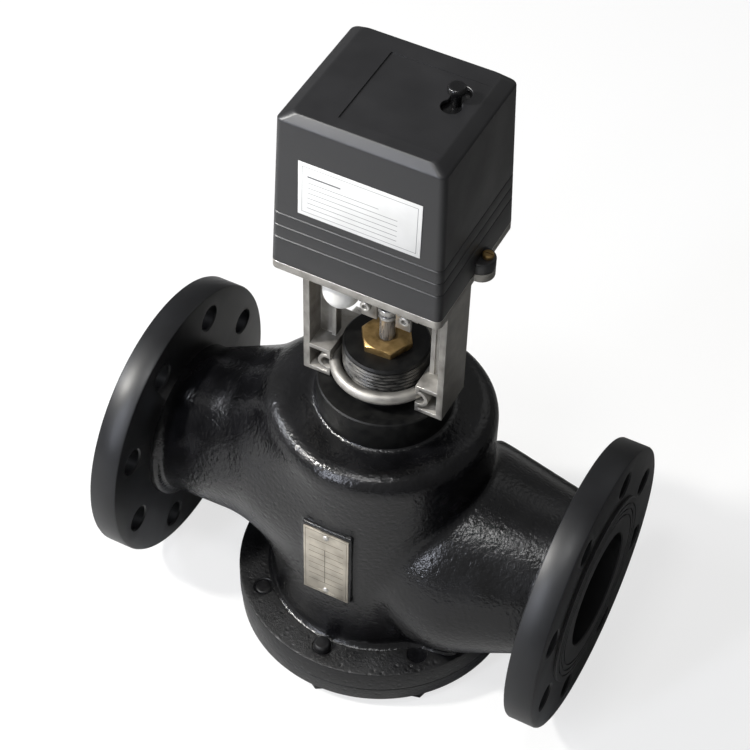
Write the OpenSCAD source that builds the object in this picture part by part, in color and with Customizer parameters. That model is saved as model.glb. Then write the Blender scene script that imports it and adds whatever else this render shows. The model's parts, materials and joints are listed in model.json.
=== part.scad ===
// Pressure independent control valve, DN80, with a yoke-mounted linear actuator.
// +X runs along the pipe to the outlet flange, +Y to the back, +Z up the stem.
// The origin lies on the stem axis, level with the lowest bolt heads.

/* [Ports and flanges] */
// Bore of both ports
port_d = 80; // [66:1:90]
// Outer diameter of the port flanges
flange_d = 200; // [190:1:206]
// Thickness of the flange rim
flange_t = 20; // [14:0.5:24]
// Bolt circle of the port flanges
flange_pcd = 160; // [156:1:166]
// Diameter of the flange bolt holes
flange_hole_d = 18; // [12:1:20]
// Number of bolt holes in each port flange
flange_holes = 8; // [4:4:8]
// Diameter of the raised sealing face
face_d = 132; // [112:1:136]
// Height of the raised sealing face
face_h = 2; // [1:0.5:4]
// Stem axis to the left sealing face
left_reach = 173; // [165:1:195]
// Stem axis to the right sealing face
right_reach = 161; // [154:1:185]

/* [Valve body] */
// Outer diameter of the barrel
barrel_d = 149; // [146:1:154]
// Pipe axis above the top of the bottom flange
axis_rise = 68; // [66:1:76]
// Shoulder of the barrel above the pipe axis
shoulder_rise = 104.5; // [102:0.5:116]
// Rounding of the shoulder
shoulder_r = 13; // [6:1:16]
// Diameter of the boss that carries the neck
boss_d = 87; // [80:1:94]
// Height of the boss above the shoulder
boss_h = 19.5; // [14:0.5:26]
// Outer diameter of the bottom flange
base_d = 198; // [192:1:204]
// Thickness of the bottom flange
base_t = 18; // [14:0.5:22]
// Rim of the bottom flange to its bolt circle
base_edge = 14; // [13:1:15]
// Number of bolts in the bottom flange
base_bolts = 8; // [4:4:8]
// Inner radius of the two flow chambers
chamber_r = 58; // [54:1:59]
// Wall between the two flow chambers
web_t = 14; // [10:1:16]

/* [Bottom cover] */
// Thickness of the bottom cover
lower_cover_t = 13.5; // [12:0.5:18]
// Shank diameter of the cover bolts
bolt_d = 12; // [8:1:13]
// Height of the bolt heads under the cover
head_h = 7.5; // [6:0.5:10]
// Width across flats of the bolt heads
head_af = 18; // [15:0.5:20]

/* [Neck] */
// Outer diameter of the neck
neck_d = 56; // [54:0.2:58]
// Height of the neck above the boss
neck_h = 36; // [34:0.5:40]
// Pitch of the thread on the neck
neck_pitch = 2; // [1.5:0.25:3]
// Width across flats of the packing nut
nut_af = 30; // [27:0.5:34]
// Height of the packing nut's hexagon
nut_h = 5.5; // [4:0.5:8]

/* [Stem and trim] */
// Diameter of the valve stem
stem_d = 10; // [8:0.5:11]
// Full travel of the stem
stroke = 20; // [10:1:20]
// Bore of the seat ring
seat_d = 60; // [52:1:62]
// Travel of the regulator piston
regulator_stroke = 10; // [6:1:11]
// Wire diameter of the regulator spring
spring_wire = 3.5; // [2.5:0.5:4]
// Turns of the regulator spring
spring_turns = 3.5; // [2.5:0.5:4]

/* [Yoke] */
// Outer face of each leg from the stem axis
leg_x = 49; // [48:0.5:52]
// Width of the side wall of each leg, front to back
leg_w = 32; // [26:1:38]
// Front edge of the legs before the stem axis
leg_front = 19.5; // [16:0.5:24]
// Thickness of the side wall of each leg
leg_t = 4.3; // [3:0.1:6]
// Height of the feet
foot_h = 23; // [21:0.5:25]
// Clear height of the legs between the feet and the base plate
leg_h = 88; // [86:1:100]
// Thickness of the base plate
plate_t = 5.7; // [4:0.1:8]
// Diameter of the U-bolt's rod
rod_d = 8; // [6:0.5:9]

/* [Actuator cover] */
// Width of the cover at its lower edge
hood_w = 112; // [108:0.2:116]
// Depth of the cover at its lower edge
hood_d = 100.4; // [98:0.2:106]
// Height of the upright walls of the cover
hood_wall_h = 107.9; // [106:0.1:120]
// Height of the bevel round the top
bevel_h = 5.3; // [3:0.1:9]
// Inward run of the bevel at the sides
bevel_side = 8.5; // [4:0.5:10]
// Inward run of the bevel at the front and the back
bevel_front = 4.5; // [3:0.5:9]
// Draft of the walls: inward run for each unit of height
draft_share = 0.03; // [0:0.005:0.04]
// Rounding of the upright corners
hood_corner_r = 4.5; // [4:0.5:9]
// Wall thickness of the cover
hood_wall = 2.5; // [1.5:0.1:3]
// Centre of the actuator behind the stem axis
hood_y = 3.5; // [2:0.1:5]
// Number of grooves round the cover
groove_count = 3; // [1:1:4]
// Height of the lowest groove above the lower edge
groove_z = 19.8; // [14:0.2:24]
// Spacing of the grooves
groove_step = 9.6; // [6:0.2:12]
// Width of the label plate
label_w = 78; // [60:1:90]
// Height of the label plate
label_h = 39; // [28:1:44]

/* [Drive] */
// Travel of the spindle for each turn of the drive gear
spindle_lead = 4; // [2:1:6]
// Diameter of the drive spindle
spindle_d = 12; // [10:0.5:12.5]
// Tooth module of the drive gear and the pinion that turns it
coarse_module = 1; // [0.9:0.05:1.05]
// Tooth module of the fast gears
fine_module = 0.8; // [0.7:0.05:0.85]
// Travel of the declutch knob to each side
declutch_travel = 5; // [2:0.5:5]

/* [Hidden] */

$fn = 96;
over = 1;           // overrun of every cut
run_gap = 0.05;     // radial clearance of a running fit
fit_gap = 0.02;     // radial clearance of a seated piece
loose_gap = 0.3;    // clearance between pieces that only pass each other
edge = 1.2;         // broken edge of machined and cast rims

// Heights, from the ground up
joint_z = head_h + lower_cover_t;
base_top_z = joint_z + base_t;
pipe_z = base_top_z + axis_rise;
shoulder_z = pipe_z + shoulder_rise;
boss_z = shoulder_z + boss_h;
neck_top_z = boss_z + neck_h;
nut_top_z = neck_top_z + nut_h;
foot_gap = 5;                       // feet above the boss
foot_z = boss_z + foot_gap;
foot_top_z = foot_z + foot_h;
rod_z = foot_z + foot_h / 2;
plate_z = foot_top_z + leg_h;
plate_top_z = plate_z + plate_t;
hood_top_wall_z = plate_top_z + hood_wall_h;
hood_top_z = hood_top_wall_z + bevel_h;

// Body
barrel_r = barrel_d / 2;
port_r = port_d / 2;
boss_r = boss_d / 2;
hub_wall = 10;                      // branch wall at the flange
hub_r = port_r + hub_wall;
hub_ring = 6;                       // rounded ring where a branch meets its flange
left_in = 60;                       // where each branch ends inside the barrel
left_rise = 31;
left_in_r = 64;
right_in = 62;
right_drop = 13;
right_in_r = 73;
base_fillet = 4;
pad_w = 36;                         // pad of the nameplate
pad_h = 69;
pad_x = -1.2;
pad_low = 17.5;                     // pad's lower edge below the pipe axis
pad_front = 2.5;                    // pad's face before the barrel
plate_w = 33;                       // nameplate
plate_h = 65;
nameplate_t = 1;
rivet_d = 4.5;
outlet_hole_extra = 0.6;            // the outlet's bolt holes are a little wider than the inlet's
face_groove_w = 1;
face_groove_t = 0.8;
face_groove_step = 4;
face_grooves = 3;
rib_r = 5;                          // impulse rib on the back of the outlet branch
rib_turn = 38.8;                    // its place round the branch
passage_r = 34;                     // sloping passages to the chambers
straight_run = 30;                  // straight bore behind each sealing face
left_slope = 27.7;
right_slope = 29.6;
chamber_top = 12.5;                 // roof of the upper chamber
web_top_z = pipe_z + web_t;
seat_wall = 8;
seat_bore_r = seat_d / 2 + seat_wall;
body_thread_r = 26;                 // thread of the bonnet in the boss
base_bolt_r = bolt_d / 2;
base_bolt_turn = 0;
base_pcd = base_d - 2 * base_edge;
bolt_bury = 1;                      // hole beyond the tip of a bolt that ends inside the casting
tip_h = 5;                          // bolt tips above the flange, as shares of tip_h
tip_shares = [-0.4, 0, 0.6, 0, -0.4, 0, 1, -0.9];

// Bottom cover, diaphragm and regulator
rim_gap = 1;
rim_r = base_pcd / 2 - base_bolt_r - rim_gap;    // clamped rim of the diaphragm
rim_t = 2;
dish_r = 57;
dish_t = 5;
dia_step = 12;                      // middle of the diaphragm above its rim's underside
dia_wall_r = 53;
plate_r = 49;
plate_gap = 3;
reg_rod_r = 5;
rod_bush_h = 20;
foot_boss_r = 20;                   // boss under the bottom cover, round the rod's bush
clip_t = 1.5;
cage_r = seat_bore_r;
cage_wall = 5;
cage_h = 45;
cage_flange = 7;
cage_flange_t = 5;
cage_inner_r = cage_r - cage_wall;
cage_z = pipe_z - cage_h;
window_h = regulator_stroke;
window_w = 16;
windows = 6;
window_drop = 12;
window_z = pipe_z - cage_flange_t - window_drop - window_h;
piston_r = cage_inner_r - run_gap;
piston_skirt = 13;
piston_crown = 5;
piston_top_z = window_z - loose_gap;
dia_mid_z = joint_z - rim_t + dia_step;
disc_t = 3;
disc_top_z = dia_mid_z + disc_t;
spring_r = 36;
rod_low = 3;                        // metal under the end of the regulator rod
bush_wall = 3;
dome_r = 14;

// Neck
collar_h = 2;
collar_out = 2;
thread_depth = 0.8;
neck_chamfer = 2.5;
neck_r = neck_d / 2;
thread_top = 5;                     // plain stretch above the thread
shank_len = 24;
seal_r = 1.1;                       // section of the seal ring between bonnet and body
seal_rise = 5;
stem_r = stem_d / 2;
bush_r = stem_r + 3;
bush_len = 22;
gland_r = 11;                       // stuffing box
gland_depth = 27;
nut_thread_r = 13.5;
nut_thread_len = 9;
ring_count = 5;
ring_t = 3.6;
washer_t = 2;

// Plug
plug_lift = loose_gap;
plug_t = 11;
plug_r = seat_d / 2 + 4;
seat_flange = 4;
seat_flange_t = 4;
seat_top_z = web_top_z + seat_flange_t;
skirt_len = 24;
skirt_wall = 4;
vee_count = 3;
vee_w = 26;
plug_bore_r = stem_r - 1;
plug_nut_h = 8;

// U-bolt and yoke
rod_r = rod_d / 2;
rod_bend_r = neck_r + loose_gap + rod_r;
hook_gap = 0.2;
foot_in = 2.2;                      // foot's inner face inside the rod's axis
foot_x = rod_bend_r - foot_in;
foot_wall = 3;
hook_wall = 2.2;
leg_web_t = 4;
leg_web_y = -4.4;
leg_bead = 3;
leg_in_x = 33;
bead_out = 1.6;
leg_back = leg_w - leg_front;
saddle_back = 8;
saddle_h = 20;
saddle_x = 24;
saddle_arm_x = 43.5;
saddle_arm_t = 7;
saddle_y = leg_back + saddle_arm_t;
rod_washer_t = 1.6;
rod_washer_r = 8;
rod_nut_h = 6.5;
rod_over = 2;
rod_nut_af = 13;
plate_corner_r = hood_corner_r;
lug_r = 8.5;
lug_x = 56.5;
lug_y = 8;
lug_h = 8;
lug_screw_x = 59.5;
lug_screw_y = 9.5;
screw_r = 2;
screw_head_r = 3.6;
screw_head_h = 2.6;

// Coupling
coup_x = 20.5;
coup_h = 13.5;
coup_y = 9;
coup_split = 0.2;
coup_screw_x = 13.5;
stem_show = 19;
coup_z = nut_top_z + stem_show;
coup_top_z = coup_z + coup_h;
sleeve_x = 11;
sleeve_gap = 2;
sleeve_top_z = plate_z - stroke - sleeve_gap;
button_r = 6;
button_h = 4.5;
button_z = coup_z + 6;
spindle_r = spindle_d / 2;
spindle_flat = spindle_r - 1;
spindle_low_z = coup_top_z + 3;

// Cable entry
gland_x = -17;
gland_y = -29;
entry_r = 12.5;
entry_drop = 22;                    // centre of the dome below the base plate
gland_hex_h = 7;
gland_hex_af = 24;
gland_thread_r = 8;
gland_locknut_h = 4;

// Gear train
shelf_rise = 14;
shelf_t = 2;
shelf_z = plate_top_z + shelf_rise;
shelf_top_z = shelf_z + shelf_t;
washer_h = 1.5;
level_gap = 0.2;
main_teeth = 52;
slow_teeth = 14;
wheel_teeth = 40;
fast_teeth = 12;
main_face = 8;
fine_face = 4;
level_step = 1;
main_z = shelf_top_z + washer_h + level_gap + level_step;
fine_z = main_z + main_face + level_step;
fast_z = fine_z + fine_face + level_step;
train_top_z = fast_z + fine_face + level_step;
upper_z = train_top_z + washer_h + level_gap;
upper_top_z = upper_z + shelf_t;
hub_main_r = 10;
pressure_angle = 25;
tooth_slack = 0.14;
coarse_cd = coarse_module * (main_teeth + slow_teeth) / 2;
fine_cd = fine_module * (wheel_teeth + fast_teeth) / 2;
turn_a = 140;                       // drive gear to second gear
turn_b = 25;                        // second gear to first gear
turn_c = -40;                       // first gear to motor pinion
second_at = [coarse_cd * cos(turn_a), coarse_cd * sin(turn_a)];
first_at = second_at + [fine_cd * cos(turn_b), fine_cd * sin(turn_b)];
pinion_at = first_at + [fine_cd * cos(turn_c), fine_cd * sin(turn_c)];
pin_r = 2;
shelf_x = 46;
shelf_front = 40;
shelf_back = 45;
shelf_cut = 9;
pillar_r = 3.5;
pillar_nut_h = 3;
pillar_x = 41;
pillar_front = 33;
pillar_back = 40;
motor_r = 20;
motor_at = [23, 21];
motor_h = 22;
cam_r = 8;
cam_h = 3;
spindle_top_z = upper_top_z + cam_h + level_step;
board_x = 44;
board_y = 60;
board_h = 46;
motor_bore = 6;
board_t = 1.6;
block_w = 34;
block_d = 10;
block_h = 13;
block_at = [18.5, -34];
poles = 6;

// Top of the cover
slot_x = 31;
slot_y = 13.8;
slot_r = 6.2;
slot_half = 6.5;
slot_neck_share = 0.7;
stalk_r = 3;
knob_r = 5.6;
knob_h = 4;
knob_rise = 10;
slider_z = hood_top_z - hood_wall - 3.2;
slider_t = 2;
slider_w = 17;
slider_l = 27;
rail_t = 1.6;
panel_x = -19.5;
panel_front = -31;
panel_back = 33;
panel_sink = 0.8;
groove_w = 0.9;
groove_t = 0.6;
label_z = 45.3;
label_x = 1.7;
label_t = 0.4;

// Solids of rotation with a broken or rounded upper edge
module soft_disc(r, h, f) {
    rotate_extrude()
        difference() {
            square([r, h]);
            translate([r - f, h - f])
                difference() {
                    square([f + over, f + over]);
                    circle(r = f);
                }
        }
}

// Disc with chamfered edges above and below
module edged_disc(r, h, c) {
    rotate_extrude()
        polygon([[0, 0], [r - c, 0], [r, c], [r, h - c], [r - c, h], [0, h]]);
}

module tube(r_out, r_in, h) {
    difference() {
        cylinder(r = r_out, h = h);
        translate([0, 0, -over])
            cylinder(r = r_in, h = h + 2 * over);
    }
}

module hex(af, h) {
    cylinder(r = af / sqrt(3), h = h, $fn = 6);
}

// Round bar from one point to another, with radii r1 and r2
module bar_between(a, b, r1, r2) {
    d = b - a;
    flat = norm([d[0], d[1]]);
    translate(a)
        rotate([0, atan2(flat, d[2]), atan2(d[1], d[0])])
            cylinder(r1 = r1, r2 = r2, h = norm(d));
}

// Tapered branch that ends in a dome inside the barrel
module branch(flange_end, inner_end, r1, r2) {
    bar_between(flange_end, inner_end, r1, r2);
    translate(inner_end)
        sphere(r = r2 * cos(atan((r2 - r1) / norm(inner_end - flange_end))));
}

// Repeats its children round the Z axis
module ring_of(count, r, turn) {
    for (i = [0 : count - 1])
        rotate([0, 0, turn + i * 360 / count])
            translate([r, 0, 0])
                children();
}

module mirrored_x() {
    children();
    mirror([1, 0, 0])
        children();
}

// Port flange with its sealing face at x = 0, facing -X, and its hub ring behind the rim
module port_flange() {
    rotate([0, 90, 0]) {
        difference() {
            union() {
                cylinder(r = face_d / 2, h = face_h + over);
                translate([0, 0, face_h])
                    edged_disc(flange_d / 2, flange_t, edge);
            }
            for (i = [0 : face_grooves - 1])
                translate([0, 0, -over])
                    tube(face_d / 2 - (i + 1) * face_groove_step, face_d / 2 - (i + 1) * face_groove_step
                        - face_groove_w, over + face_groove_t);
        }
        translate([0, 0, face_h + flange_t - edge])
            soft_disc(hub_r + hub_ring, hub_ring, hub_ring / 2);
    }
}

module flange_cuts(hole_d) {
    rotate([0, 90, 0]) {
        translate([0, 0, -over])
            cylinder(r = port_r, h = straight_run + over);
        ring_of(flange_holes, flange_pcd / 2, 180 / flange_holes)
            translate([0, 0, face_h - over])
                cylinder(d = hole_d, h = flange_t + hub_ring + 2 * over, $fn = 48);
    }
}

module body_solid() {
    // barrel, shoulder and bottom flange
    translate([0, 0, joint_z + edge])
        soft_disc(barrel_r, shoulder_z - joint_z - edge, shoulder_r);
    translate([0, 0, joint_z])
        edged_disc(base_d / 2, base_t, edge);
    translate([0, 0, base_top_z - edge])
        rotate_extrude()
            difference() {
                square([barrel_r + base_fillet, base_fillet + edge]);
                translate([barrel_r + base_fillet, base_fillet + edge])
                    circle(r = base_fillet);
            }
    translate([0, 0, shoulder_z - over])
        soft_disc(boss_r, boss_h + over, edge);
    // branches
    branch([-left_reach + face_h + flange_t, 0, pipe_z], [-left_in, 0, pipe_z + left_rise],
        hub_r - 1, left_in_r);
    intersection() {
        branch([right_reach - face_h - flange_t, 0, pipe_z], [right_in, 0, pipe_z - right_drop],
            hub_r + 1, right_in_r);
        translate([0, -flange_d / 2, joint_z + edge])
            cube([right_reach, flange_d, flange_d]);
    }
    bar_between([right_in, (right_in_r - rib_r / 2) * sin(90 - rib_turn),
            pipe_z - right_drop + (right_in_r - rib_r / 2) * sin(rib_turn)],
        [right_reach - face_h - flange_t / 2, (hub_r - rib_r / 2) * sin(90 - rib_turn),
            pipe_z + (hub_r - rib_r / 2) * sin(rib_turn)],
        rib_r, rib_r);
    // pad of the nameplate
    translate([pad_x - pad_w / 2, -barrel_r - pad_front, pipe_z - pad_low])
        cube([pad_w, pad_front + barrel_r / 2, pad_h]);
    translate([-left_reach, 0, pipe_z])
        port_flange();
    translate([right_reach, 0, pipe_z])
        mirror([1, 0, 0])
            port_flange();
}

module body_cuts() {
    translate([-left_reach, 0, pipe_z])
        flange_cuts(flange_hole_d);
    translate([right_reach, 0, pipe_z])
        mirror([1, 0, 0])
            flange_cuts(flange_hole_d + outlet_hole_extra);
    // sloping passages: high on the inlet side, low on the outlet side
    translate([-left_reach + straight_run, 0, pipe_z])
        rotate([0, 90 - left_slope, 0])
            translate([0, 0, -passage_r / 4])
                cylinder(r = passage_r, h = left_reach - straight_run - chamber_r / 3);
    translate([right_reach - straight_run, 0, pipe_z])
        rotate([0, -90 - right_slope, 0])
            translate([0, 0, -passage_r / 4])
                cylinder(r = passage_r, h = right_reach - straight_run - chamber_r / 3);
    // upper chamber
    translate([0, 0, web_top_z])
        soft_disc(chamber_r, shoulder_z - chamber_top - web_top_z, shoulder_r);
    // lower chamber
    translate([0, 0, joint_z - over])
        cylinder(r = chamber_r, h = pipe_z - joint_z + over);
    translate([0, 0, pipe_z - over])
        cylinder(r = seat_bore_r, h = web_t + 2 * over);
    translate([0, 0, shoulder_z - chamber_top - over])
        cylinder(r = body_thread_r, h = chamber_top + boss_h + 2 * over);
    // tapped holes of the bottom flange
    translate([0, 0, joint_z - over])
        ring_of(base_bolts, base_pcd / 2, base_bolt_turn)
            cylinder(r = base_bolt_r + fit_gap, h = base_t + over + bolt_bury, $fn = 48);
    // rivet holes
    for (z = [rivet_z(0), rivet_z(1)])
        translate([pad_x, -barrel_r - pad_front - over, z])
            rotate([-90, 0, 0])
                cylinder(d = rivet_d / 2, h = rivet_d + over, $fn = 24);
}

function rivet_z(i) = pipe_z - pad_low + (pad_h - plate_h) / 4 + (i == 0 ? 1 : plate_h / rivet_d - 1) * rivet_d;

module valve_body() {
    color([0.07, 0.07, 0.075])
        difference() {
            body_solid();
            body_cuts();
        }
}

module seat_ring() {
    color("silver")
        translate([0, 0, pipe_z])
            rotate_extrude()
                polygon([
                    [seat_d / 2, 0],
                    [seat_bore_r - fit_gap, 0],
                    [seat_bore_r - fit_gap, web_t],
                    [seat_bore_r + seat_flange, web_t],
                    [seat_bore_r + seat_flange, web_t + seat_flange_t],
                    [seat_d / 2 + 1, web_t + seat_flange_t],
                    [seat_d / 2, web_t + seat_flange_t - 1]
                ]);
}

module regulator_cage() {
    color("silver")
        difference() {
            union() {
                translate([0, 0, cage_z])
                    tube(cage_r, cage_inner_r, cage_h);
                translate([0, 0, pipe_z - cage_flange_t])
                    tube(cage_r + cage_flange, cage_inner_r, cage_flange_t);
                translate([0, 0, cage_z])
                    tube(cage_r + cage_flange - 1, cage_inner_r, cage_flange_t - 1);
            }
            for (i = [0 : windows - 1])
                rotate([0, 0, i * 360 / windows])
                    translate([cage_inner_r - cage_wall, -window_w / 2, window_z])
                        cube([cage_r, window_w, window_h]);
        }
}

module bottom_cover() {
    color([0.07, 0.07, 0.075])
        difference() {
            union() {
                translate([0, 0, head_h])
                    edged_disc(base_d / 2 - 1, lower_cover_t, edge);
                edged_disc(foot_boss_r, head_h + over, edge);
            }
            translate([0, 0, joint_z - rim_t])
                cylinder(r = rim_r + loose_gap, h = rim_t + over);
            translate([0, 0, joint_z - rim_t - dish_t])
                cylinder(r = dish_r, h = dish_t + over);
            translate([0, 0, rod_low])
                cylinder(r = reg_rod_r + bush_wall, h = joint_z, $fn = 48);
            ring_of(base_bolts, base_pcd / 2, base_bolt_turn)
                translate([0, 0, head_h - over])
                    cylinder(r = base_bolt_r + loose_gap, h = lower_cover_t + 2 * over, $fn = 48);
        }
}

// Tip of bolt i above or below the top of the bottom flange
function tip_z(i) = base_top_z + tip_h * tip_shares[i % len(tip_shares)];

module cover_bolts() {
    color([0.1, 0.1, 0.1])
        for (i = [0 : base_bolts - 1])
            rotate([0, 0, base_bolt_turn + i * 360 / base_bolts])
                translate([base_pcd / 2, 0, 0]) {
                    hex(head_af, head_h);
                    translate([0, 0, head_h - edge])
                        cylinder(r = base_bolt_r, h = tip_z(i) - head_h, $fn = 48);
                    translate([0, 0, tip_z(i) - edge - fit_gap])
                        cylinder(r1 = base_bolt_r, r2 = base_bolt_r - edge, h = edge, $fn = 48);
                }
}

module rod_bush() {
    color("peru")
        translate([0, 0, rod_low])
            tube(reg_rod_r + bush_wall - fit_gap, reg_rod_r + run_gap, rod_bush_h);
}

module diaphragm() {
    color([0.12, 0.12, 0.12])
        translate([0, 0, joint_z - rim_t])
            rotate_extrude()
                polygon([
                    [reg_rod_r + loose_gap, dia_step - rim_t],
                    [reg_rod_r + loose_gap, dia_step],
                    [dia_wall_r, dia_step],
                    [dia_wall_r + rim_t, dia_step - 1],
                    [chamber_r - 1, rim_t],
                    [rim_r, rim_t],
                    [rim_r, 0],
                    [chamber_r - 2, 0],
                    [dia_wall_r - 1, dia_step - rim_t]
                ]);
}

module diaphragm_plates() {
    color("silver") {
        translate([0, 0, dia_mid_z])
            tube(plate_r, reg_rod_r + fit_gap, disc_t);
        translate([0, 0, dia_mid_z - rim_t - disc_t])
            tube(plate_r - disc_t, reg_rod_r + fit_gap, disc_t);
    }
}

rod_foot_z = rod_low + 1;
crown_z = piston_top_z - piston_skirt + piston_crown;
clip_h = 2.5;

module regulator_rod() {
    color("lightsteelblue")
        translate([0, 0, rod_foot_z])
            cylinder(r = reg_rod_r, h = piston_top_z - rod_foot_z);
}

module regulator_piston() {
    color("silver")
        difference() {
            translate([0, 0, piston_top_z - piston_skirt])
                cylinder(r = piston_r, h = piston_skirt);
            translate([0, 0, crown_z])
                cylinder(r = piston_r - cage_wall, h = piston_skirt);
            translate([0, 0, piston_top_z - piston_skirt - over])
                cylinder(r = reg_rod_r + fit_gap, h = piston_skirt);
            ring_of(windows, piston_r / 2, 0)
                translate([0, 0, piston_top_z - piston_skirt - over])
                    cylinder(r = reg_rod_r, h = piston_skirt, $fn = 32);
        }
}

module rod_nuts() {
    color("lightsteelblue") {
        translate([0, 0, crown_z])
            difference() {
                hex(head_af, piston_crown);
                translate([0, 0, -over])
                    cylinder(r = reg_rod_r + fit_gap, h = piston_crown + 2 * over);
            }
        translate([0, 0, dia_mid_z - rim_t - disc_t - clip_t])
            tube(reg_rod_r + disc_t, reg_rod_r + fit_gap, clip_t);
        translate([0, 0, disc_top_z])
            difference() {
                hex(head_af, clip_h);
                translate([0, 0, -over])
                    cylinder(r = reg_rod_r + fit_gap, h = clip_h + 2 * over);
            }
    }
}

// Points of one ring of the spring's wire; the ring stands upright on the coil
function coil_ring(a, z, sides) = [
    for (j = [0 : sides - 1])
        let (t = j * 360 / sides, r = spring_r + spring_wire / 2 * cos(t))
            [r * cos(a), r * sin(a), z + spring_wire / 2 * sin(t)]
];

module regulator_spring() {
    sides = 6;
    per_turn = 16;
    rings = floor(spring_turns * per_turn);
    low = disc_top_z + spring_wire / 2 + loose_gap / 2;
    high = cage_z - spring_wire / 2 - loose_gap / 2;
    points = [
        for (i = [0 : rings])
            each coil_ring(i * 360 / per_turn, low + (high - low) * i / rings, sides)
    ];
    faces = concat(
        [[for (j = [0 : sides - 1]) j]],
        [for (i = [0 : rings - 1], j = [0 : sides - 1])
            [i * sides + j, (i + 1) * sides + j, (i + 1) * sides + (j + 1) % sides, i * sides + (j + 1) % sides]],
        [[for (j = [sides - 1 : -1 : 0]) rings * sides + j]]
    );
    color("dimgray")
        polyhedron(points, faces);
}

module nameplate() {
    color([0.72, 0.68, 0.62])
        difference() {
            translate([pad_x - plate_w / 2, -barrel_r - pad_front - nameplate_t,
                pipe_z - pad_low + (pad_h - plate_h) / 4])
                cube([plate_w, nameplate_t, plate_h]);
            for (i = [0, 1])
                translate([pad_x, -barrel_r - pad_front - nameplate_t - over, rivet_z(i)])
                    rotate([-90, 0, 0])
                        cylinder(d = rivet_d / 2 + fit_gap, h = nameplate_t + 2 * over, $fn = 24);
        }
}

module nameplate_rivets() {
    color("silver")
        for (i = [0, 1])
            translate([pad_x, -barrel_r - pad_front - nameplate_t, rivet_z(i)])
                rotate([-90, 0, 0]) {
                    cylinder(d = rivet_d / 2 - fit_gap, h = nameplate_t + rivet_d - edge, $fn = 24);
                    rotate([180, 0, 0])
                        soft_disc(rivet_d / 2, edge, edge / 2);
                }
}

// Neck, threaded into the boss, with the stuffing box inside it
module bonnet() {
    thread_h = neck_top_z - thread_top - rod_z - rod_r;
    threads = floor(thread_h / neck_pitch);
    color([0.09, 0.09, 0.09])
        difference() {
            union() {
                translate([0, 0, boss_z - shank_len])
                    cylinder(r = body_thread_r - fit_gap, h = shank_len + over);
                translate([0, 0, boss_z])
                    cylinder(r = neck_r + collar_out / 2, h = collar_h);
                translate([0, 0, boss_z])
                    rotate_extrude()
                        polygon([[0, 0], [neck_r, 0], [neck_r, neck_h - neck_chamfer],
                            [neck_r - neck_chamfer, neck_h], [0, neck_h]]);
            }
            for (i = [0 : threads - 1])
                translate([0, 0, neck_top_z - thread_top - i * neck_pitch])
                    rotate_extrude()
                        polygon([[neck_r - thread_depth, 0], [neck_r + over, neck_pitch / 2],
                            [neck_r + over, -neck_pitch / 2]]);
            translate([0, 0, boss_z - shank_len + seal_rise - seal_r - fit_gap])
                tube(body_thread_r + over, body_thread_r - 2 * seal_r - 2 * fit_gap, 2 * seal_r + 2 * fit_gap);
            translate([0, 0, neck_top_z - gland_depth])
                cylinder(r = gland_r, h = gland_depth + over);
            translate([0, 0, neck_top_z - nut_thread_len - loose_gap])
                cylinder(r = nut_thread_r, h = nut_thread_len + loose_gap + over);
            translate([0, 0, boss_z - shank_len - over])
                cylinder(r = bush_r, h = bush_len + over + fit_gap);
            translate([0, 0, boss_z - shank_len - over])
                cylinder(r = stem_r + loose_gap, h = shank_len + neck_h);
        }
}

module bonnet_seal() {
    color([0.05, 0.05, 0.05])
        translate([0, 0, boss_z - shank_len + seal_rise])
            rotate_extrude()
                translate([body_thread_r - seal_r - fit_gap, 0])
                    circle(r = seal_r, $fn = 24);
}

module stem_bush() {
    color("peru")
        translate([0, 0, boss_z - shank_len])
            tube(bush_r - fit_gap, stem_r + run_gap, bush_len);
}

module packing_washer() {
    color("silver")
        translate([0, 0, neck_top_z - gland_depth])
            tube(gland_r - fit_gap, stem_r + run_gap, washer_t);
}

// Chevron rings under the packing nut
module packing_rings() {
    color("white")
        for (i = [0 : ring_count - 1])
            translate([0, 0, neck_top_z - gland_depth + washer_t + i * (ring_t * 2 / 3 + fit_gap)])
                rotate_extrude()
                    polygon([
                        [stem_r + run_gap, 0],
                        [(stem_r + gland_r) / 2, ring_t / 3],
                        [gland_r - fit_gap, 0],
                        [gland_r - fit_gap, ring_t * 2 / 3],
                        [(stem_r + gland_r) / 2, ring_t],
                        [stem_r + run_gap, ring_t * 2 / 3]
                    ]);
}

module packing_nut() {
    press_z = neck_top_z - gland_depth + washer_t + (ring_count + 0.5) * ring_t * 2 / 3 + ring_count * fit_gap;
    color([0.72, 0.55, 0.25])
        difference() {
            union() {
                translate([0, 0, press_z])
                    cylinder(r = gland_r - fit_gap, h = neck_top_z - press_z);
                translate([0, 0, neck_top_z - nut_thread_len])
                    cylinder(r = nut_thread_r - fit_gap, h = nut_thread_len);
                translate([0, 0, neck_top_z])
                    intersection() {
                        rotate([0, 0, 4])
                            hex(nut_af, nut_h);
                        rotate_extrude()
                            polygon([[0, 0], [nut_af * 0.6, 0], [nut_af * 0.6, nut_h - 1.5 * edge],
                                [nut_af * 0.5, nut_h], [0, nut_h]]);
                    }
            }
            translate([0, 0, press_z - over])
                cylinder(r = stem_r + run_gap, h = nut_top_z - press_z + 2 * over);
            translate([0, 0, nut_top_z - edge])
                cylinder(r1 = stem_r + run_gap, r2 = stem_r + 2 * edge, h = edge + fit_gap);
        }
}

plug_z = seat_top_z + plug_lift;

module valve_stem() {
    low = plug_z - plug_nut_h - loose_gap;
    color("gainsboro") {
        translate([0, 0, plug_z + plug_t])
            cylinder(r = stem_r, h = button_z - plug_z - plug_t);
        translate([0, 0, low])
            cylinder(r = plug_bore_r - fit_gap, h = plug_z + plug_t - low + over);
        translate([0, 0, button_z - fit_gap])
            soft_disc(button_r, button_h, edge / 2);
    }
}

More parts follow.
